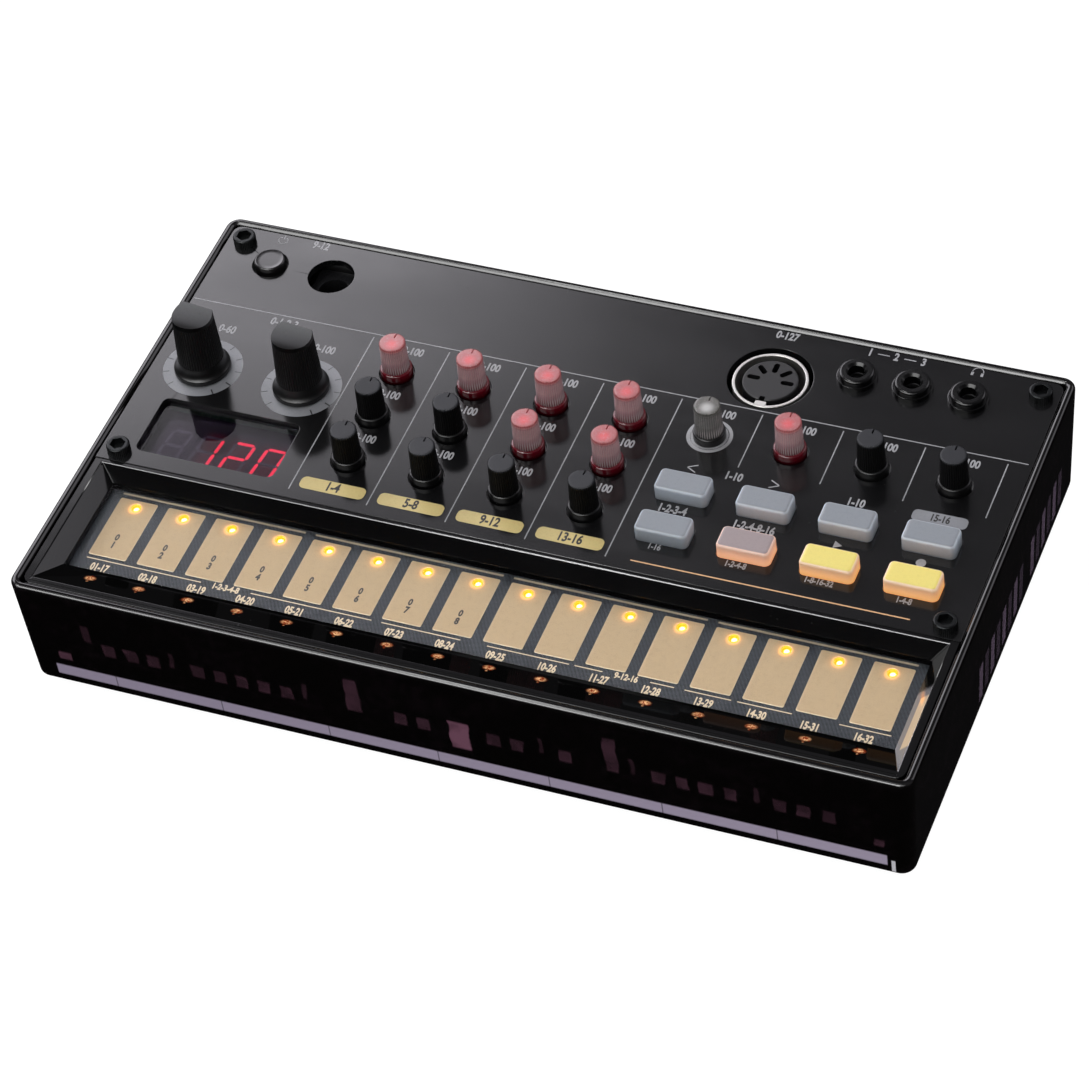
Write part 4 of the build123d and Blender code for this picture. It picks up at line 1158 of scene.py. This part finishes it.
def make_board_and_pads():
    """The woven board with sixteen pads, their step lamps and the prints round them."""
    low, high = low_high("keyboard_board")
    board = block("keyboard_board_woven", low, high)
    round_over(board, lambda a, b: upright(a, b) and a.y < -40, 2.0, 4)
    carve(board, [post("well", x, LED_Y, low.z - 1, high.z + 1, 1.2, 32) for x in PADS_X])
    tidy_mesh(board)
    finish(board, weave_board, nodes=["keyboard_board"])

    pad_low, pad_high = low_high("touch_pads")
    pad = pad_block(
        "touch_pad_01",
        (PADS_X[0] - 4.25, PAD_FRONT_Y, pad_low.z),
        (PADS_X[0] + 4.25, PAD_REAR_Y, pad_high.z),
        0.35,
        3,
    )
    carve(pad, [post("well", PADS_X[0], LED_Y, pad_low.z - 1, pad_high.z + 1, 1.15, 32)])
    round_over(pad, at_height(pad_high.z), 0.04, 1)
    pads = [pad]
    for i in range(1, 16):
        pads.append(twin(pad, f"touch_pad_{i + 1:02d}", (PAD_PITCH * i, 0, 0)))
    for one in pads:
        finish(one, pad_tan, nodes=["touch_pads"])

    # the lamp: a round lens in a dark well
    led_low = low_high("step_leds")[0]
    x = PADS_X[0]
    well = post("lamp_well_01", x, LED_Y, led_low.z, pad_high.z - 0.03, 1.13, 32)
    pick_top(well)
    inset(0.22)
    extrude(-0.7)
    lens = post("lamp_lens_01", x + 0.12, LED_Y - 0.1, led_low.z + 0.3, pad_high.z - 0.3, 0.62, 24)
    round_over(lens, at_height(pad_high.z - 0.3), 0.3, 3)
    wells, lenses = [well], [lens]
    for i in range(1, 16):
        shift = (PAD_PITCH * i, 0, 0)
        wells.append(twin(well, f"lamp_well_{i + 1:02d}", shift))
        lenses.append(twin(lens, f"lamp_lens_{i + 1:02d}", shift))
    for well, lens in zip(wells, lenses):
        finish(well, lamp_well_painted_glow, nodes=["step_leds"])
        finish(lens, led_amber)

    # thin tan strips behind each four pads, and the cream prints in front
    z = high.z
    strips = []
    for group in range(4):
        x = 4 * PAD_PITCH * (group - 1.5)
        strips.append(bar("strip", x, -22.5, 4 * PAD_PITCH - 2.3, 0.5, z))
    finish_print("keyboard_strips", strips, pad_tan_plain)

    prints = []
    for i, x in enumerate(PADS_X):
        prints.append(figure("figure", f"{i + 1:02d}-{i + 17}", 2.6, x - 0.3, -43.4, z, squeeze=0.66))
    lines = [
        (-86.6, -60.6), (-49.4, -22.6), (-20.4, -3.2), (2.6, 20.2), (21.4, 27.3), (37.4, 42.4), (44.6, 54.3),
        (55.6, 66.9), (76.6, 87.2),
    ]
    for start, end in lines:
        prints.append(bar("line", (start + end) / 2, -41.3, end - start, 0.22, z))
    for words, x in (("1-2-3-4-8", -55.0), ("9-12-16", 32.35)):
        prints.append(figure("figure", words, 2.2, x, -41.5, z, squeeze=0.72))
    finish_print("keyboard_print", prints, ink_cream)

    marks = []
    for i in range(8):
        marks.append(figure("figure", "0", 2.3, PADS_X[i] - 0.2, -34.7, pad_high.z, squeeze=0.72, bold=0.045))
        marks.append(
            figure("figure", str(i + 1), 2.4, PADS_X[i] - 0.2, -36.9, pad_high.z, squeeze=0.72, bold=0.045)
        )
    finish_print("pad_figures", marks, ink_black)


pad_tan_plain = make_ink("strip_tan", tone(124, 112, 92), tone(104, 92, 74))
make_board_and_pads()
dress("touch_plate", plate_clear)


# ---- small knobs ----
def make_small_knobs():
    """One cap and one collar are modelled, then copied to every place."""
    crown = PANEL_Z + 9.0
    ribs = 36
    seat = PANEL_Z + 1.9
    x, y = small_places[SMALL_KNOBS[0]]
    cap = post(f"{SMALL_KNOBS[0]}_cap", x, y, seat - 0.4, crown, 3.0, ribs * 4, 2.78)
    # every fourth edge is drawn in, so the wall has flutes
    pick(cap, "VERT", lambda v: round(atan2(v.y - y, v.x - x) / (2 * pi) * ribs * 4) % 4 == 0)
    resize(0.955, 0.955, (x, y, crown))
    round_over(cap, at_height(crown), 0.28, 3)
    pick(cap, "FACE", lambda c, n: n.z > 0.99 and c.z > crown - 0.01)
    inset(0.25)
    notch = block("notch", (x - 0.28, y + 1.25, crown - 0.6), (x + 0.28, y + 3.5, crown + 1))
    pick(notch, "VERT", lambda v: v.z < crown)
    resize(0.35, 1, (x, y, crown - 0.6))
    carve(cap, [notch])
    tidy_mesh(cap)
    collar = post(f"{SMALL_KNOBS[0]}_collar", x, y, PANEL_UNDER_Z + 0.02, seat, 3.45, 64)
    round_over(collar, at_height(seat), 0.38, 4)
    pieces = [(SMALL_KNOBS[0], cap, collar)]
    for name in SMALL_KNOBS[1:]:
        shift = (small_places[name][0] - x, small_places[name][1] - y, 0)
        pieces.append((name, twin(cap, f"{name}_cap", shift), twin(collar, f"{name}_collar", shift)))
    for name, one_cap, one_collar in pieces:
        cap_look, collar_look, slot = knob_cap_black, collar_black, "knob_black"
        if name in LIT_KNOBS:
            cap_look, collar_look, slot = cap_red, collar_crimson, "knob_lit_red"
        elif name == "sample_speed":
            cap_look, slot = cap_clear, "knob_clear"
        for one, look in ((one_cap, cap_look), (one_collar, collar_look)):
            finish(one, look, body=f"{name}_pot", nodes=[f"{name}_knob"], angle=35)


make_small_knobs()


# ---- large knobs ----
def make_large_knob(side, x, y):
    """A ribbed grip on a flared skirt, made at the origin and then put in its place."""
    base = PANEL_Z + 0.3
    top = PANEL_Z + 16.1
    ribs = 52
    turn = radians(-6.5)
    band = top - 1.5
    knob = post("large_knob", 0, 0, base + 2.4, band, 4.95, ribs * 4, 4.42)
    pick(knob, "VERT", lambda v: round((atan2(v.y, v.x) / (2 * pi) * ribs * 4)) % 4 == 0)
    resize(0.972, 0.972, (0, 0, top))
    smooth = post("smooth_band", 0, 0, band - 0.2, top, 4.43, ribs * 4, 4.36)
    round_over(smooth, at_height(top), 0.2, 3)
    carve(knob, [smooth], "UNION")
    # a skirt that flares out to its foot
    skirt = post("skirt", 0, 0, base, base + 0.8, 6.1, 96)
    for rise, shrink in ((0.25, 0.975), (0.35, 0.94), (0.5, 0.94), (0.7, 0.96), (0.8, 0.985)):
        pick_top(skirt, 0.99)
        extrude(rise)
        resize(shrink, shrink, (0, 0, top))
    carve(skirt, [post("bore", 0, 0, base - 1, base + 9.0, 3.1, 32)])
    tidy_mesh(skirt)
    skirt.rotation_euler = (0, 0, turn)
    skirt.location = (x, y, 0)
    settle_in(skirt, f"large_knob_{side}_skirt")
    finish(skirt, collar_black, body=f"large_{side}_pot", nodes=[f"large_knob_{side}"], angle=50)
    # the dish for the fingertip and the steep flat behind the pointer's edge
    bpy.ops.mesh.primitive_cylinder_add(
        vertices=192, radius=12.0, depth=20, location=(0, -1.6, top + 12.0 - 0.75), rotation=(0, pi / 2, 0)
    )
    dish = settle_in(bpy.context.object, "dish")
    flat = block("flat", (-8, 1.5, top - 9.0), (8, 9.0, top + 3))
    pick(flat, "VERT", lambda v: v.y < 3 and v.z < top)
    bpy.ops.transform.translate(value=(0, 3.9, 0))
    carve(knob, [dish])
    carve(knob, [flat])
    carve(knob, [post("bore", 0, 0, base - 1, base + 9.0, 3.1, 32)])
    tidy_mesh(knob)
    knob.rotation_euler = (0, 0, turn)
    knob.location = (x, y, 0)
    settle_in(knob, f"large_knob_{side}_grip")
    return finish(
        knob, knob_matte, body=f"large_{side}_pot", nodes=[f"large_knob_{side}"], angle=32
    )


for knob_side, (knob_x, knob_y) in large_places.items():
    make_large_knob(knob_side, knob_x, knob_y)


# ---- buttons ----
def make_buttons():
    """One key is modelled, then copied to every place."""
    low, high = low_high(BUTTONS[0])
    x, y = button_places[BUTTONS[0]]
    key = pad_block(f"{BUTTONS[0]}_key", (x - 5.65, y - 2.98, low.z + 0.9), (x + 5.65, y + 2.98, high.z), 1.1, 6)
    round_over(key, at_height(high.z), 0.72, 5)
    pick_top(key, 0.99)
    inset(0.2)
    flange = pad_block("flange", low, (high.x, high.y, low.z + 1.0), 0.8, 3)
    carve(key, [flange], "UNION")
    tidy_mesh(key)
    keys = {BUTTONS[0]: key}
    for name in BUTTONS[1:]:
        keys[name] = twin(key, f"{name}_key", (button_places[name][0] - x, button_places[name][1] - y, 0))
    looks = {"play_button": (button_lit, "button_lit"), "step_mode_button": (button_warm, "button_warm")}
    looks["record_button"] = looks["play_button"]
    for name, one in keys.items():
        material, slot = looks.get(name, (button_grey, "button_grey"))
        finish(one, material, body=f"{name}_body", nodes=[name], angle=40)


make_buttons()


def make_power_button():
    """A dished round key with a flange and a stem under the panel."""
    low, high = low_high("power_button")
    cap = post("power_button_cap", power_x, power_y, PANEL_UNDER_Z - 0.4, high.z, 3.4, 64)
    round_over(cap, at_height(high.z), 0.45, 4)
    pick_top(cap, 0.99)
    inset(0.9)
    bpy.ops.transform.translate(value=(0, 0, -0.12))
    collar = post("flange", power_x, power_y, PANEL_UNDER_Z - 1.3, PANEL_UNDER_Z - 0.3, 4.5, 48)
    stem = post("stem", power_x, power_y, low.z, PANEL_UNDER_Z - 1.0, 1.6, 24)
    carve(cap, [collar, stem], "UNION")
    tidy_mesh(cap)
    return finish(cap, power_satin, body="power_button_body", nodes=["power_button"], angle=35)


make_power_button()


# ---- screws ----
def make_panel_screws():
    """One knurled socket head screw is modelled, then copied."""
    first_x, first_y = panel_screws[0]
    top = PANEL_Z + 1.9
    head = post("panel_screw_1", first_x, first_y, PANEL_Z, top, 2.5, 80)
    pick(head, "VERT", lambda v: round(atan2(v.y - first_y, v.x - first_x) / (2 * pi) * 80) % 2 == 0)
    resize(0.965, 0.965, (first_x, first_y, top))
    round_over(head, at_height(top), 0.35, 4)
    shank = post("shank", first_x, first_y, PANEL_Z - 7.0, PANEL_Z + 0.5, 1.5, 24)
    carve(head, [shank], "UNION")
    socket = post("socket", first_x, first_y, top - 1.3, top + 1, 1.62, 6)
    carve(head, [socket])
    tidy_mesh(head)

    def socket_rim(a, b):
        """Both ends on the rim of the socket."""
        return at_height(top)(a, b) and all(hypot(end.x - first_x, end.y - first_y) < 1.7 for end in (a, b))

    round_over(head, socket_rim, 0.18, 2)
    heads = [head]
    for i, (x, y) in enumerate(panel_screws[1:]):
        heads.append(twin(head, f"panel_screw_{i + 2}", (x - first_x, y - first_y, 0)))
    for one in heads:
        finish(one, screw_black, nodes=["panel_screws"], angle=35)


make_panel_screws()


# ---- sockets ----
def make_jacks():
    """One socket and its contact are modelled, then copied."""
    low, high = jack_low, jack_high
    x = jacks_x[0]
    body = pad_block(
        "audio_jack_1", (x - 4.5, jack_y - 4.5, low.z), (x + 4.5, jack_y + 4.5, PANEL_UNDER_Z - 0.1), 0.5, 2
    )
    bush = post("bush", x, jack_y, PANEL_UNDER_Z - 0.5, high.z, 3.83, 64)
    round_over(bush, at_height(high.z), 0.7, 5)
    collar = post("collar", x, jack_y, PANEL_Z, PANEL_Z + 1.0, 4.3, 64)
    round_over(collar, at_height(PANEL_Z + 1.0), 0.25, 2)
    carve(body, [bush, collar], "UNION")
    carve(body, [post("bore", x, jack_y, high.z - 14.0, high.z + 1, 1.8, 48)])
    carve(body, [post("funnel", x, jack_y, high.z - 0.55, high.z + 0.55, 1.75, 48, 2.9)])
    tidy_mesh(body)
    ring = post("audio_jack_1_contact", x, jack_y, high.z - 6.6, high.z - 2.6, 1.8, 48)
    pick_top(ring)
    inset(0.14)
    extrude(-3.8)
    pairs = [(body, ring)]
    for i in (1, 2):
        shift = (jacks_x[i] - x, 0, 0)
        pairs.append((twin(body, f"audio_jack_{i + 1}", shift), twin(ring, f"audio_jack_{i + 1}_contact", shift)))
    for one_body, one_ring in pairs:
        finish(one_body, socket_black, nodes=["audio_jacks"], angle=32)
        finish(one_ring, contact_metal, angle=32)


make_jacks()


def make_din():
    """The round socket: a metal ring with its key, and an insert with five pin holes."""
    low, high = low_high("din_shell")
    shell = post("din_shell_ring", din_x, din_y, low.z, high.z, 8.1, 96)
    pick_top(shell)
    inset(0.75)
    extrude(low.z + 0.8 - high.z)
    round_over(shell, at_height(high.z), 0.2, 3)
    key = pad_block(
        "key", (din_x - 1.2, din_y - 7.6, low.z + 0.5), (din_x + 1.2, din_y - 6.05, high.z - 0.3), 0.3, 3
    )
    carve(shell, [key], "UNION")
    tidy_mesh(shell)
    finish(shell, din_metal, nodes=["din_shell"], angle=35)

    in_low, in_high = low_high("din_insert")
    in_high.z += 1.6
    insert = post("din_insert_disc", din_x, din_y, in_low.z, in_high.z, 5.95, 96)
    round_over(insert, at_height(in_high.z), 0.3, 3)
    cutters = []
    for angle in (0, 45, 90, 135, 180):
        pin = pad_block("pin", (2.3, -0.6, in_high.z - 7.0), (5.1, 0.6, in_high.z + 1), 0.55, 4)
        pin.rotation_euler = (0, 0, radians(angle))
        pin.location = (din_x, din_y, 0)
        cutters.append(settle_in(pin, "pin"))
    key_low, key_high = (din_x - 0.6, din_y - 6.5, in_high.z - 2), (din_x + 0.6, din_y - 4.9, in_high.z + 1)
    cutters.append(pad_block("keyway", key_low, key_high, 0.2, 2))
    carve(insert, cutters)
    tidy_mesh(insert)
    finish(insert, insert_black, nodes=["din_insert"], angle=35)


make_din()


def make_dc():
    """The power inlet and its centre pin."""
    low, high = low_high("dc_jack")
    body = pad_block("dc_jack_body", low, high, 0.6, 3)
    round_over(body, at_height(high.z), 0.25, 2)
    carve(body, [post("well", dc_x, dc_y, high.z - 9.0, high.z + 1, 3.3, 64)])
    tidy_mesh(body)
    finish(body, dc_shell, nodes=["dc_jack"], angle=35)
    pin_low, pin_high = low_high("dc_pin")
    pin = post("dc_centre_pin", dc_x, dc_y, pin_low.z, pin_high.z, 0.85, 32)
    round_over(pin, at_height(pin_high.z), 0.3, 4)
    finish(pin, plated, nodes=["dc_pin"], angle=35)


make_dc()


# ---- display ----
SEGMENTS = {" ": "", "0": "abcdef", "1": "bc", "2": "abged"}
SHOWN = " 120"


def make_segment(kind, x, y, z):
    """One bar of a seven-bar figure, drawn in at both ends, leaning with the figure."""
    width, height, thick, gap = 4.3, 8.6, 0.72, 0.2
    # across and up in half widths and quarter heights, and whether the bar stands
    spots = {
        "a": (0, 2, 0), "b": (1, 1, 1), "c": (1, -1, 1), "d": (0, -2, 0), "e": (-1, -1, 1), "f": (-1, 1, 1),
        "g": (0, 0, 0),
    }
    across, up, stand = spots[kind]
    length = (height / 2 if stand else width) - 2 * gap
    made = block("segment", (-length / 2, -thick / 2, 0), (length / 2, thick / 2, 0.05))
    round_over(made, upright, thick * 0.42, 1)
    made.rotation_euler = (0, 0, pi / 2 if stand else 0)
    made.location = (across * width / 2, up * height / 4, 0)
    settle_in(made, "segment")
    lean = 0.1
    made.data.transform(Matrix(((1, lean, 0, x), (0, 1, 0, y), (0, 0, 1, z), (0, 0, 0, 1))))
    return made


def make_display():
    """The module under the window, and its lit and unlit bars."""
    low, high = low_high("display_module")
    high.z -= 0.1
    module = pad_block("display_module_body", low, high, 0.4, 2)
    round_over(module, at_height(high.z), 0.2, 2)
    finish(module, display_face, nodes=["display_module"])
    lit, unlit = [], []
    for digit, x in zip(SHOWN, DIGITS_X):
        for kind in "abcdefg":
            group = lit if kind in SEGMENTS[digit] else unlit
            group.append(make_segment(kind, x, DIGIT_Y, high.z))
    finish_print("display_figures_lit", lit, digit_red)
    finish_print("display_figures_unlit", unlit, digit_off)


DIGIT_PITCH = 7.2
DIGITS_X = [-81.35 + DIGIT_PITCH * i for i in range(4)]
DIGIT_Y = -8.3


def make_display_face():
    """Smooth violet-grey filter, with a faint painted red glow round the lit figures."""
    material, tree, shader = start_material("display_face", Specular_IOR_Level=0.1)
    x, y, _ = axes(tree, object_place(tree))
    put(shader, Base_Color=tone(30, 25, 33), Roughness=wiped(tree, 0.35, 0.45))
    half = DIGIT_PITCH / 2 * MM
    local = maths("WRAP", x - DIGITS_X[1] * MM, half, -half)
    beside = maths("MAXIMUM", abs(local) - 0.0018, 0.0)
    ahead = maths("MAXIMUM", abs(y - DIGIT_Y * MM) - 0.0042, 0.0)
    away = maths("SQRT", beside**2 + ahead**2)
    # painted glow round the lit figures, set in emission
    lit = ramp(away, 0.0, 0.0022, 1.0, 0.0, smooth=True)
    lit *= ramp(x, (DIGITS_X[1] - 2.6) * MM, (DIGITS_X[1] + 0.5) * MM, smooth=True)
    put(shader, Emission_Color=blend(lit, BLACK, tone(255, 40, 70)), Emission_Strength=0.055)
    return material


display_face = make_display_face()
make_display()


def make_pane():
    """Display window: a flange under the panel and a raised pane in its opening."""
    low, high = window_low, window_high
    pane = pad_block("display_pane", low, high, 1.0, 4)
    top = PANEL_Z - 1.15
    raised = pad_block(
        "raised", (window_x - 15.65, window_y - 7.8, high.z - 0.4), (window_x + 15.65, window_y + 7.8, top), 1.45
    )
    round_over(raised, at_height(top), 0.1, 2)
    carve(pane, [raised], "UNION")
    tidy_mesh(pane)
    finish(pane, window_smoke, nodes=["display_window"])


make_pane()


# ---- prints on the panel ----
def print_ring(x, y, radius, width):
    """A flat printed ring."""
    ring = post("ring", x, y, PANEL_Z, PANEL_Z + INK, radius, 96)
    pick_top(ring)
    inset(width)
    extrude(-INK)
    bpy.ops.mesh.delete(type="FACE")
    return ring


def make_prints():
    """Lines, figures, signs, labels and scales, joined by the ink they are printed in."""
    z = PANEL_Z
    grey = [bar("line", -0.3, 31.35, 187.4, 0.24, z)]
    for x in (-51.0, -33.5, -16.0, 1.5, 19.0):
        grey.append(bar("line", x, 7.1, 46.6, 0.24, z, turn=pi / 2))
    for x in (36.7, 54.3, 71.9, 89.4):
        grey.append(bar("line", x, 22.55, 15.7, 0.24, z, turn=pi / 2))
    # plain figures where the knobs and sockets are named
    for name in SMALL_KNOBS:
        x, y = small_places[name]
        grey.append(figure("figure", "0-100", 3.0, x + 0.9, y + 6.7, z))
    for words, x, y in (
        ("0-60", -82.8, 24.2), ("0-1-2-3", -71.5, 29.2), ("0-100", -59.9, 24.0), ("9-12", -73.3, 53.9),
        ("0-127", 34.2, 53.9), ("1", 52.5, 53.9), ("2", 58.2, 53.9), ("3", 64.1, 53.9), ("1-10", 36.7, 11.9),
        ("1-10", 63.0, 11.6), ("1-2-3-4", 27.7, -0.3), ("1-2-4-8-16", 45.3, -0.6),
    ):
        grey.append(figure("figure", words, 3.0, x, y, z))
    for words, x, y in (
        ("1-16", 27.7, -11.05), ("1-2-4-8", 45.1, -11.3), ("1-8-16-32", 62.6, -11.1), ("1-4-8", 80.4, -11.35),
    ):
        grey.append(figure("figure", words, 2.2, x, y, z))
    for x in (55.4, 61.2):
        grey.append(bar("line", x, 53.9, 2.6, 0.24, z))
    # arrows, triangle and dot
    for x, side in ((27.7, -1), (45.5, 1)):
        for lean in (-1, 1):
            grey.append(bar("stroke", x, 12.0 + lean * 0.55, 2.2, 0.26, z, turn=lean * -side * radians(28)))
    triangle = post("triangle", 62.9, -0.5, z, z + INK, 1.15, 3)
    there, back = Matrix.Translation((62.9, -0.5, 0)), Matrix.Translation((-62.9, 0.5, 0))
    triangle.data.transform(there @ Matrix.Rotation(-pi / 2, 4, "Z") @ back)
    grey.append(triangle)
    grey.append(post("dot", 80.6, -0.6, z, z + INK, 1.05, 32))
    # power sign: an open ring with a stroke, and the headphones' bow
    for cx, cy, radius, start, end in ((-82.2, 53.4, 1.0, 120, 420), (75.8, 54.3, 1.15, -20, 200)):
        steps = 20
        for i in range(steps):
            a = radians(start + (end - start) * (i + 0.5) / steps)
            length = radius * radians(abs(end - start)) / steps * 1.15
            grey.append(bar("arc", cx + radius * cos(a), cy + radius * sin(a), length, 0.2, z, turn=a + pi / 2))
    grey.append(bar("stroke", -82.2, 54.3, 1.2, 0.2, z, turn=pi / 2))
    for side in (-1, 1):
        grey.append(bar("ear", 75.8 + side * 1.05, 53.6, 1.0, 0.55, z, turn=pi / 2))
    finish_print("panel_print_grey", grey, ink_grey)

    # rounded labels
    gold = []
    for left, right in ((-49.4, -34.9), (-31.9, -17.4), (-14.4, 0.1), (3.1, 17.65)):
        gold.append(pad_block("label", (left, -15.2, z), (right, -11.85, z + INK), 1.2, 6))
    finish_print("panel_labels_gold", gold, ink_gold)
    grey_label = pad_block("panel_label_grey", (74.85, 10.27, z), (86.5, 13.39, z + INK), 1.1, 6)
    finish(grey_label, ink_ring)

    black = []
    for i, x in enumerate((-42.15, -24.65, -7.15, 10.35)):
        black.append(figure("figure", f"{4 * i + 1}-{4 * i + 4}", 3.4, x, -13.5, z + INK, bold=0.03))
    black.append(figure("figure", "15-16", 2.6, 80.7, 11.85, z + INK, bold=0.03))

    # scale rings under the large knobs
    rings, ticks = [], []
    radius = 7.95
    for x, y in large_places.values():
        rings.append(print_ring(x, y, 8.65, 3.6))
        for i in range(11):
            a = radians(232 - 28.4 * i)
            group, width = (black, 0.3) if i > 8 else (ticks, 0.14)
            group.append(bar("tick", x + radius * cos(a), y + radius * sin(a), 1.4, width, z + INK, turn=a))
    finish_print("speed_ring", [print_ring(*small_places["sample_speed"], 4.85, 0.75)], ink_grey)
    finish_print("scale_rings", rings, ink_ring)
    finish_print("panel_print_black", black, ink_black)
    finish_print("scale_ticks", ticks, tick_grey)

    line = bar("panel_line_orange", 53.7, -15.75, 58.8, 0.3, z, pointed=0.1)
    finish(line, ink_orange)


tick_grey = make_ink("ink_tick_grey", tone(60, 62, 64), tone(48, 50, 52))
make_prints()

# ---- CAD nodes that keep their shape ----
for kept, kept_look in {
    "top_chassis": chassis_black,
    "control_board": green_board,
    "jack_board": green_board,
    "pot_bodies": pot_steel,
    "button_switches": chassis_black,
    "power_switch": chassis_black,
    "case_screws": screw_black,
    "rubber_feet": foot_rubber,
    "speaker_frame": pot_steel,
    "speaker_cone": paper,
    "battery_tray": tray_black,
    "battery_cells": cell_wrap,
    "battery_contacts": plated,
    "battery_door": smoked_case,
    "pot_shaft_left": pot_steel,
    "pot_shaft_right": pot_steel,
}.items():
    dress(kept, kept_look)


# ---- floor and sky ----
def make_floor():
    """A pale paper slab that gives off most of its own white."""
    floor = block("floor", (-3000, -3000, -20), (3000, 3000, 0))
    round_over(floor, at_height(0), 15, 3)
    fixed = {"Emission_Color": (1, 1, 1, 1), "Emission_Strength": 0.97, "Roughness": 0.8, "Specular_IOR_Level": 0.0}
    material, tree, shader = start_material("floor_paper_white", **fixed)
    cloud = ramp(noise(tree, Scale=3.0, Detail=3.0), 0.3, 0.7)
    put(shader, Base_Color=blend(cloud, (0.16, 0.16, 0.16, 1), (0.18, 0.18, 0.18, 1)))
    floor.data.materials.append(material)
    floor.scale = (MM, MM, MM)
    take(floor)
    bpy.ops.object.transform_apply(location=True, rotation=True, scale=True)
    floor.visible_glossy = False


make_floor()


def make_sky():
    """Dim studio with two soft boxes: a bright one behind to the left, a weaker one behind to the right."""
    world = bpy.data.worlds.new("studio")
    scene.world = world
    world.use_nodes = True
    tree = world.node_tree
    x, y, z = axes(tree, add_node(tree, "ShaderNodeTexCoord").outputs["Generated"])
    bearing = maths("ARCTAN2", y, x)
    # dim all round, dimmer still towards the front
    total = ramp(z, -0.1, 0.3, 0.008, 0.22, smooth=True) * ramp(y, -0.7, 0.3, 0.2, 1.0)
    # each box: bearings and heights in degrees between which it fades in and out, and its strength
    for start, full, fade, end, low, over, under, high, strength in (
        (112.5, 119.5, 165, 178, 14, 20, 41.3, 46, 5.2),
        (28, 34, 66, 72, 18, 24, 44, 50, 1.9),
    ):
        share = ramp(bearing, radians(start), radians(full), smooth=True)
        share *= ramp(bearing, radians(fade), radians(end), 1.0, 0.0, smooth=True)
        share *= ramp(z, sin(radians(low)), sin(radians(over)), smooth=True)
        share *= ramp(z, sin(radians(under)), sin(radians(high)), 1.0, 0.0, smooth=True)
        total = share * strength + total
    put(tree.nodes["Background"], Strength=total, Color=(1.0, 0.975, 1.04, 1))


make_sky()

rest()
